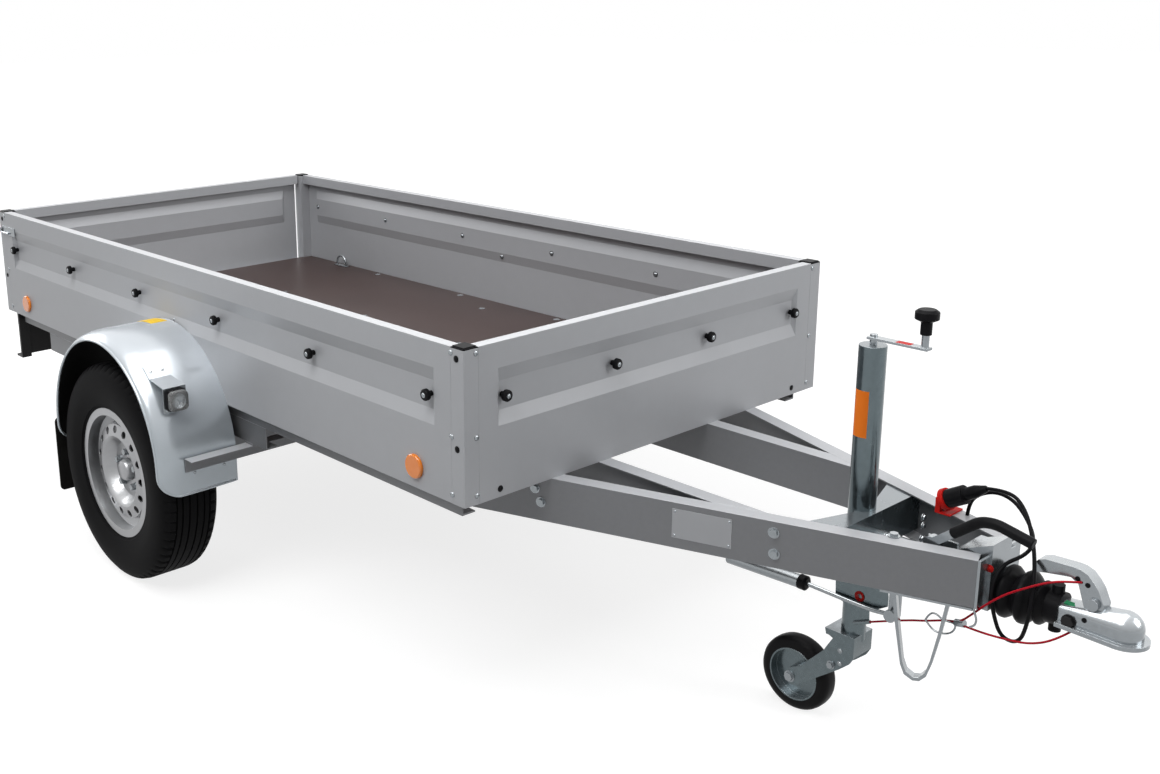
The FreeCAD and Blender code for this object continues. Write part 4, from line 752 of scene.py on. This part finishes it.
def fasteners(name, places, finish, size, body="trailer", sides=0):
    """Heads of one kind at (point, outward direction) places, as one plain mesh.

    Their size is the head's radius and height and the washer's, in millimetres. They are
    round unless they have a number of sides.
    """
    mesh = bpy.data.meshes.new(name)
    mesh.from_pydata([point for point, _ in places], [], [])
    outward = mesh.attributes.new("outward", "FLOAT_VECTOR", "POINT")
    outward.data.foreach_set("vector", [c for _, direction in places for c in direction])
    piece = new_object(name, mesh)
    heads = piece.modifiers.new("heads", "NODES")
    heads.node_group = heads_tree
    for label, value in zip(("Head Radius", "Head Height", "Washer Radius", "Washer Height"), size):
        heads[head_inputs[label]] = value * MM
    heads[head_inputs["Sides"]] = sides or 3
    heads[head_inputs["Round Head"]] = not sides
    heads[head_inputs["Finish"]] = finish
    declare(plain(piece), finish, body)
    print(name, len(places), "heads,", len(piece.data.polygons), "faces")


RIGHT, LEFT = Vector((0, -1, 0)), Vector((0, 1, 0))
FORWARD, BACK = Vector((1, 0, 0)), Vector((-1, 0, 0))
UP = Vector((0, 0, 1))


def both(point, facing=None):
    """A place and its mirror image, where each faces its own side unless a way is given.

    A point on the right, with a negative y, makes both of them face inwards.
    """
    return [(point * Vector((1, side, 1)), facing or Vector((0, side, 0))) for side in (-1, 1)]


# %% [markdown]
# ### On the walls
# Each corner post carries three screws on each of its outer faces, and two plastic plugs close
# spare holes. A screw goes through each tarpaulin knob and the wall, with its head on the knob
# and a nut inside. One more nut is that of the bolt at the top of each fender.

# %% Wall fasteners
wall = bed_half_width
post_line, plug_line, front_line, front_plug_line = 43.0, 24.0, wall - 37.0, 562.0
wall_screws, wall_plugs = [], []
for height in (22.0, 160.0, 356.0):
    for x in (post_line, bed_length - post_line):
        wall_screws += both(at(x, wall, bed_floor_z + height))
    wall_screws += both(at(bed_length, front_line, bed_floor_z + height), FORWARD)
for height in (135.0, 345.0):
    for x in (plug_line, bed_length - plug_line):
        wall_plugs += both(at(x, wall, bed_floor_z + height))
wall_plugs += both(at(bed_length, front_plug_line, bed_floor_z + 20.0), FORWARD)
fasteners("wall_screws", wall_screws, plated, (6.2, 2.8, 7.0, 0.6))
fasteners("wall_plugs", wall_plugs, hard_plastic, (7.2, 3.0, 8.0, 0.8))

knob_z, knob_reach, wall_depth = bed_floor_z + 242.0, 15.0, 13.0
fender_nut_x, fender_nut_z, fender_nut_depth = 1262.0, bed_floor_z + 193.0, 9.0
knob_nuts = both(at(fender_nut_x, fender_nut_depth - wall, fender_nut_z))
knob_screws, gate_knob_screws = [], []
for x in (122.0 + index * 465.2 for index in range(6)):
    knob_nuts += both(at(x, wall_depth - wall, knob_z))
    knob_screws += both(at(x, wall + knob_reach, knob_z))
for y in (181.0, 548.0):
    knob_nuts += both(at(bed_length - wall_depth, y, knob_z), BACK)
    knob_screws += both(at(bed_length + knob_reach, y, knob_z), FORWARD)
for y in (181.0, 540.0):
    gate_knob_screws += both(at(-knob_reach, y, knob_z), BACK)
fasteners("knob_nuts", knob_nuts, plated, (6.5, 4.0, 9.5, 1.0))
for name, places, body in (("knob_screws", knob_screws, "trailer"),
                           ("gate_knob_screws", gate_knob_screws, "tailgate")):
    fasteners(name, places, plated, (4.8, 1.8, 6.2, 0.5), body)

# %% [markdown]
# ### On the floor
# Flat-headed bolts hold the board: four rows across it, and two bolts over the axle.

# %% Floor bolts
board_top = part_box("floor_board")[1].z / MM
floor_bolts = both(at(1265.0, 560.0, board_top), UP)
for x in (550.0, 1055.0, 1560.0, 2065.0):
    floor_bolts += both(at(x, 640.0, board_top), UP) + both(at(x, 190.0, board_top), UP)
fasteners("floor_bolts", floor_bolts, plated, (9.0, 1.6, 12.0, 0.8))

# %% [markdown]
# ### On the drawbar
# The two beams lean inwards, so each bolt on a web faces along that beam's own normal.

# %% Drawbar bolts
beam_front_x, beam_front_y, beam_rear_y, beam_length = 3465.0, 84.0, 395.0, 895.0
beam_slope = (beam_rear_y - beam_front_y) / beam_length
beam_normal = Vector((beam_slope, -1.0, 0.0)).normalized()


def on_web(x, z, side=-1):
    """A place on a beam's outer face, and the direction that it faces there."""
    y = beam_front_y + beam_slope * (beam_front_x - x)
    return at(x, side * y, z), Vector((beam_normal.x, -side * beam_normal.y, 0.0))


web_bolts = [on_web(x, z, side) for side in (-1, 1)
             for x, z in ((3074.0, 534.0), (3077.0, 485.0), (2543.0, 495.0), (2528.0, 528.0))]
web_bolts += both(at(3288.0, 100.0, bed_floor_z), UP)
fasteners("web_bolts", web_bolts, plated, (9.5, 6.0, 13.0, 2.0), sides=6)
cross_plate_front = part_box("jack_bracket")[1].x
plate_bolts = []
for y, z in ((76.0, 542.0), (78.0, 522.0), (75.0, 492.0)):
    plate_bolts += both(Vector((cross_plate_front, y * MM, z * MM)), FORWARD)
fasteners("plate_bolts", plate_bolts, plated, (6.2, 4.0, 8.5, 1.2), sides=6)

# %% [markdown]
# A blank plate is riveted to the right beam, where such trailers carry their papers' number.

# %% Blank plate
plate_rear, plate_front, plate_low, plate_high = 2855.0, 2986.0, 475.0, 545.0
plate("blank_plate", [on_web(x, z)[0] for x, z in (
    (plate_rear, plate_low), (plate_front, plate_low), (plate_front, plate_high),
    (plate_rear, plate_high))], beam_normal, 0.8, sheet_zinc)
rivet_inset = 6.0
plate_rivets = [on_web(x, z) for x in (plate_rear + rivet_inset, plate_front - rivet_inset)
                for z in (plate_low + rivet_inset, plate_high - rivet_inset)]
fasteners("plate_rivets", plate_rivets, plated, (3.0, 2.4, 3.4, 1.0))

# %% [markdown]
# ### On the nose
# The jack's fork and wheel, the coupling and its handle each have their own bolts.

# %% Nose bolts
cheek_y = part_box("jack_fork")[1].y
jack_wheel_low, jack_wheel_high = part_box("jack_wheel_tyre")
jack_hub = (jack_wheel_low + jack_wheel_high) / 2


def on_fork(x, z):
    """Places on both cheeks of the fork, forward of the wheel's hub and above it."""
    return both(Vector((jack_hub.x + x * MM, cheek_y, jack_hub.z + z * MM)))


for x, z, size in ((0.0, 0.0, 11.0), (108.0, 75.0, 8.0)):
    fasteners("fork_bolts_%d" % size, on_fork(x, z), plated, (size, 6.0, 1.3 * size, 1.5),
              "jack", sides=6)
fork_rivets = on_fork(129.0, 119.0) + on_fork(130.0, 87.0)
fasteners("fork_rivets", fork_rivets, plated, (5.0, 3.0, 6.0, 0.8), "jack")
fasteners("coupling_bolts", both(at(3630.0, 30.3, 472.0)), black_steel,
          (12.5, 7.0, 14.5, 2.0), sides=6)
handle_spots = (both(at(3632.0, 16.0, 559.0)) + both(at(3652.0, 16.0, 552.0))
                + both(at(3659.0, 31.8, 486.0)))
fasteners("coupling_spots", handle_spots, hard_plastic, (4.8, 0.6, 5.2, 0.4), sides=20)
fasteners("red_button", [(at(3474.0, -50.0, 536.0), RIGHT)], red_plastic, (6.0, 5.0, 8.0, 1.0))

# %% [markdown]
# Small pieces sit beside them: the black cap of the sprung rod, the red bush that guides the
# cable's end, two wire hooks, a strip under the beam, and the blank spots and stickers.


# %% Small pieces of the nose
def level(x_low, x_high, y_low, y_high, z):
    """The corners of a level rectangle."""
    return [at(x, y, z) for x, y in ((x_low, y_low), (x_high, y_low), (x_high, y_high),
                                     (x_low, y_high))]


turned("strut_cap", [(-14.0, 0.0), (-14.0, 17.5), (2.0, 17.5), (6.0, 12.0), (6.0, 0.0)],
       at(3054.0, -56.0, 354.0), FORWARD, hard_plastic)
turned("cable_bush", [(-4.0, 6.0), (-4.0, 8.8), (0.0, 8.8), (0.0, 12.0), (1.4, 12.0), (1.4, 6.0)],
       at(3186.9, -46.0, 366.7), RIGHT, red_plastic)
wire("cable_hook", [at(x, -60.0, z) for x, z in (
    (3352, 379), (3360, 397), (3374, 402), (3390, 392), (3421, 396), (3414, 372), (3390, 360),
    (3366, 362), (3352, 379))], 2.0 * MM, plated)
wire("beam_hook", [at(x, -81.0, z) for x, z in (
    (3461, 458), (3467, 444), (3472, 430), (3468, 416), (3459, 411))], 2.2 * MM, plated)
strip_line, strip_width = [on_web(x, 449.0)[0] for x in (3290.0, 3462.0)], 16.0
plate("beam_strip", strip_line + [place + LEFT * strip_width * MM
                                  for place in reversed(strip_line)], UP, 5.0, plated)
plate("coupling_indicator", level(3612.0, 3634.0, -18.0, -4.0, 500.0), UP, 2.0, label_green)
crank_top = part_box("jack_crank")[1].z / MM - 27.0
plate("crank_mark", level(3206.0, 3240.0, -9.0, 7.0, crank_top), UP, 0.5, red_plastic)
tube_low, tube_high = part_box("jack_outer_tube")
jack_axis = (tube_low + tube_high) / 2
jack_radius = (tube_high.y - jack_axis.y) / MM


def on_jack_tube(turn, radius, z):
    """A place on the jack's tube."""
    return Vector((jack_axis.x + radius * MM * math.cos(turn),
                   jack_axis.y + radius * MM * math.sin(turn), z * MM))


wrapped("jack_sticker", on_jack_tube, jack_radius, -135.0, -62.0, 727.0, 833.0, label_orange)

# %% [markdown]
# ### On the wheels
# Five bolts hold each wheel. They stand on the flat middle of the disc, inside its crown.

# %% Wheel bolts
tyre_low, tyre_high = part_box("tyre_right")
wheel_centre = (tyre_low + tyre_high) / 2
bolt_count, bolt_circle, bolt_turn, disc_face = 5, 56.0, 0.3, 30.0


def on_wheel(side, turn, radius, out):
    """A place on a wheel at a turn round its axle, counted outwards from its middle plane."""
    return Vector((wheel_centre.x + radius * MM * math.cos(turn),
                   side * (abs(wheel_centre.y) + out * MM),
                   wheel_centre.z + radius * MM * math.sin(turn)))


for body, side in (("wheel_right", -1), ("wheel_left", 1)):
    turns = [2 * math.pi * index / bolt_count + bolt_turn for index in range(bolt_count)]
    fasteners("bolts_of_" + body,
              [(on_wheel(side, turn, bolt_circle, disc_face), Vector((0, side, 0)))
               for turn in turns], plated, (9.8, 12.0, 12.5, 4.0), body, sides=6)

# %% [markdown]
# ## Road tyres
# A road tyre has ribs round its tread with grooves between them, and short cuts across the
# outer ribs. Its section is one outline that is turned about the axle, and at every few steps
# it is the one with the cuts.


# %% Tyre outline
def tyre_outline(cut):
    """(outward, radius) points in millimetres from one bead to the other, over the tread."""
    tread, radius, depth, groove_half, groove_slope = 68.0, 325.0, 6.5, 2.6, 0.6
    side = [(74.0, 177.0), (76.0, 194.0), (80.0, 202.0), (84.0, 204.0), (86.0, 212.0),
            (91.0, 236.0), (94.0, 257.0), (93.5, 262.0), (94.0, 267.0), (91.0, 288.0),
            (87.0, 302.0), (82.0, 309.0), (77.5, 315.0), (72.5, 319.5)]
    crown = [(-tread, radius - 2.5)]
    for middle in (-52.0, -34.0, -12.0, 12.0, 34.0, 52.0):
        low, high = middle - groove_half, middle + groove_half
        crown += [(low, radius), (low + groove_slope, radius - depth),
                  (high - groove_slope, radius - depth), (high, radius)]
    crown.append((tread, radius - 2.5))
    if cut:
        rib_start, side_end = 54.0, 309.0
        crown = [(a, r - depth * 0.8) if abs(a) > rib_start else (a, r) for a, r in crown]
        side = [(a, r - depth * 0.7) if r > side_end else (a, r) for a, r in side]
    return [(-a, r) for a, r in side] + crown + side[::-1]


tyre_steps, cut_every = 320, 5
for side, name in ((-1, "right"), (1, "left")):
    rings = [[on_wheel(side, 2 * math.pi * index / tyre_steps, r, a)
              for a, r in tyre_outline(index % cut_every == 0)] for index in range(tyre_steps)]
    tyre = skinned("road_tyre_" + name, rings, tyre_rubber, "wheel_" + name, closed=True)
    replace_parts(tyre, "tyre_" + name)
    print(tyre.name, len(tyre.data.polygons), "faces")

# %% [markdown]
# ## Hub caps and mudflaps
# A bright cap closes each hub. The flaps are plain rubber sheets as wide as the fender.

# %% Hub caps and mudflaps
cap_profile = [(29.0, 0.0), (29.0, 32.5), (44.0, 32.0), (51.0, 28.5), (54.0, 21.0), (55.0, 0.0)]
flap_low, flap_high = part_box("mudflaps")
flap_z, flap_half = (flap_low.z + flap_high.z) / 2, (flap_high.z - flap_low.z) / 2 / MM
flap_y, flap_half_width, flap_corner = 798.0, 110.0, 14.0
flap_outline = rounded_outline(flap_half_width, flap_half, flap_corner)
for body, side in (("wheel_right", -1), ("wheel_left", 1)):
    hub = on_wheel(side, 0.0, 0.0, 0.0)
    turned("hub_cap_of_" + body, cap_profile, hub, Vector((0, side, 0)), wheel_paint, body)
    rings = [[Vector((x, (side * flap_y + across) * MM, flap_z + up * MM))
              for across, up in flap_outline] for x in (flap_low.x, flap_high.x)]
    flap = skinned("flap_of_" + body, rings, flap_rubber)
    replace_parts(flap, "mudflaps")

# %% [markdown]
# ## Fenders
# A fender is one pressed sheet: a flat crown that turns down over the wheel in a soft shoulder,
# with a rolled edge that stiffens it. At the foot of each leg the shoulder runs out in a round
# corner. Its outline follows two straight legs and the half circle between them. A thin dark
# lining on its underside is painted shade for the hollow over the wheel.

# %% Fender outline
fender_low, fender_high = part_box("fender_right")
fender_radius = (fender_high.x - fender_low.x) / 2 / MM
fender_middle = (fender_high.x + fender_low.x) / 2
fender_turn_z = fender_high.z - fender_radius * MM
fender_leg = (fender_turn_z - fender_low.z) / MM
fender_outside, fender_inside = -fender_low.y / MM, -fender_high.y / MM
fender_sheet, corner_radius, thin_end = 3.0, 60.0, 0.03
shoulder = ((67.0, 0.0), (47.0, 1.5), (30.0, 5.0), (16.0, 10.5), (7.0, 17.0), (3.0, 24.0))
shoulder_start = shoulder[0][0]


def on_fender(turn, radius, across, below=0.0):
    """A place on the right fender, at a turn from its front and a way from the middle line."""
    return Vector((fender_middle + radius * MM * math.cos(turn), -across * MM,
                   fender_turn_z + (radius * math.sin(turn) - below) * MM))


def fender_line(below):
    """(inwards, under) points from the wall to the edge, drawn in near a leg's foot."""
    lost = max(0.0, below - (fender_leg - corner_radius)) / corner_radius
    keep = max(math.sqrt(max(0.0, 1.0 - lost * lost)), thin_end)
    return [(fender_outside - fender_inside, 0.0)] + [
        (shoulder_start - (shoulder_start - inwards) * keep, under * keep)
        for inwards, under in shoulder]


def lowered(line, depth):
    """The same line, moved to its lower side by a depth."""
    lower = []
    for index, point in enumerate(line):
        before, after = line[max(index - 1, 0)], line[min(index + 1, len(line) - 1)]
        along = Vector((after[0] - before[0], after[1] - before[1])).normalized()
        lower.append((point[0] + along.y * depth, point[1] - along.x * depth))
    return lower


def fender_ring(line, thickness, turn, below):
    """The outline of a sheet whose upper side is the line, at one place along the fender."""
    return [on_fender(turn, fender_radius - under, fender_outside - inwards, below)
            for inwards, under in line + lowered(line, thickness)[::-1]]


# %% Fenders
leg_steps = (68.0, 66.0, 62.0, 55.0, 45.0, 32.0, 18.0, 6.0)
arch_steps = 48
shade_lining_sheet = 0.6
edge_radius, edge_inset, foot_inset, foot_rise = 4.0, 1.5, 8.0, 3.0
stations = [(0.0, below) for below in leg_steps]
stations += [(math.pi * index / arch_steps, 0.0) for index in range(arch_steps + 1)]
stations += [(math.pi, below) for below in reversed(leg_steps)]
sheet, shade_lining = [], []
edge = [on_fender(0.0, fender_radius - edge_inset, fender_inside + foot_inset,
                  fender_leg - foot_rise)]
for turn, below in stations:
    line = fender_line(below)
    sheet.append(fender_ring(line, fender_sheet, turn, below))
    # The lining is painted shade: a dark sheet just under the fender.
    shade_lining.append(fender_ring(lowered(line, fender_sheet), shade_lining_sheet, turn, below))
    inwards, under = line[-1]
    edge.append(on_fender(turn, fender_radius - under, fender_outside - inwards - edge_inset,
                          below))
for side, name in ((1, "right"), (-1, "left")):
    pressed = skinned("pressed_fender_" + name, mirrored(sheet, side), fender_zinc, smooth=40.0)
    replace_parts(pressed, "fender_" + name)
    # A black sheet under the fender as painted shade.
    skinned("fender_shade_lining_" + name, mirrored(shade_lining, side), flap_rubber, smooth=40.0)
    wire("rolled_edge_" + name, mirrored([edge], side)[0], edge_radius * MM, fender_zinc)
wrapped("fender_sticker", on_fender, fender_radius, 89.0, 104.0, 682.0, 735.0, label_yellow)

# %% [markdown]
# ### Front lamps
# Each lamp is a clear rounded lens over a black base, on a plate that is folded out of a tab on
# the fender. A small round reflector shines inside it.

# %% Front lamps
lamp_low, lamp_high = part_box("front_lamps")
lamp_z = (lamp_low.z + lamp_high.z) / 2
lamp_out = (lamp_high.y - (lamp_high.z - lamp_low.z) / 2) / MM
lens_steps = ((12.0, 28.0), (23.0, 28.0), (27.5, 26.5), (30.0, 21.0))
base_steps = ((0.0, 30.0), (11.0, 30.0), (12.5, 28.5))
bowl = [(13.0, 0.0), (13.0, 13.0), (21.0, 20.0), (22.0, 20.0), (14.5, 12.0), (14.5, 0.0)]
tab_turns, tab_half, tab_top = (54.3, 46.7), 33.0, 2.4
tab_turn = math.radians(sum(tab_turns) / 2)
tab_facing = Vector((math.cos(tab_turn), 0.0, math.sin(tab_turn)))
tab_rivets = [on_fender(tab_turn, fender_radius + tab_top, lamp_out + y) for y in (-18.0, 18.0)]
foot_z = 403.0 * MM


def squares(middle, steps, corner=12.0):
    """Rounded squares at their distances in front of the lamp's plate."""
    return [[middle + Vector((x, across, up)) * MM
             for across, up in rounded_outline(half, half, corner)] for x, half in steps]


tab = [[on_fender(math.radians(turn), fender_radius + rise, lamp_out + side * tab_half)
        for side, rise in ((-1, 0.2), (1, 0.2), (1, tab_top), (-1, tab_top))]
       for turn in tab_turns]
tab.append([Vector((lamp_low.x - back * MM, -(lamp_out + side * tab_half) * MM,
                    lamp_high.z - down * MM))
            for side, back, down in ((-1, 2.4, 3.0), (1, 2.4, 3.0), (1, 0.2, 0.0), (-1, 0.2, 0.0))])
for side, name in ((-1, "right"), (1, "left")):
    middle = Vector((lamp_low.x, side * lamp_out * MM, lamp_z))
    lens = skinned("lamp_lens_" + name, squares(middle, lens_steps), clear_lens, smooth=40.0)
    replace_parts(lens, "front_lamps")
    skinned("lamp_base_" + name, squares(middle, base_steps), hard_plastic)
    turned("lamp_bowl_" + name, bowl, middle, FORWARD, plated)
    skinned("lamp_tab_" + name, mirrored(tab, -side), fender_zinc, smooth=20.0)
    rivets = [(place, tab_facing) for place in mirrored([tab_rivets], -side)[0]]
    rivets += [(middle + Vector((0.0, y, -30.0)) * MM, FORWARD) for y in (-25.0, 25.0)]
    rivets += [(Vector((fender_high.x, side * y * MM, foot_z)), FORWARD) for y in (711.0, 805.0)]
    fasteners("lamp_rivets_" + name, rivets, plated, (3.6, 2.8, 5.0, 0.8))

# %% [markdown]
# ## View transform
# The picture uses the Standard view transform.

# %% View transform
bpy.context.scene.view_settings.view_transform = "Standard"
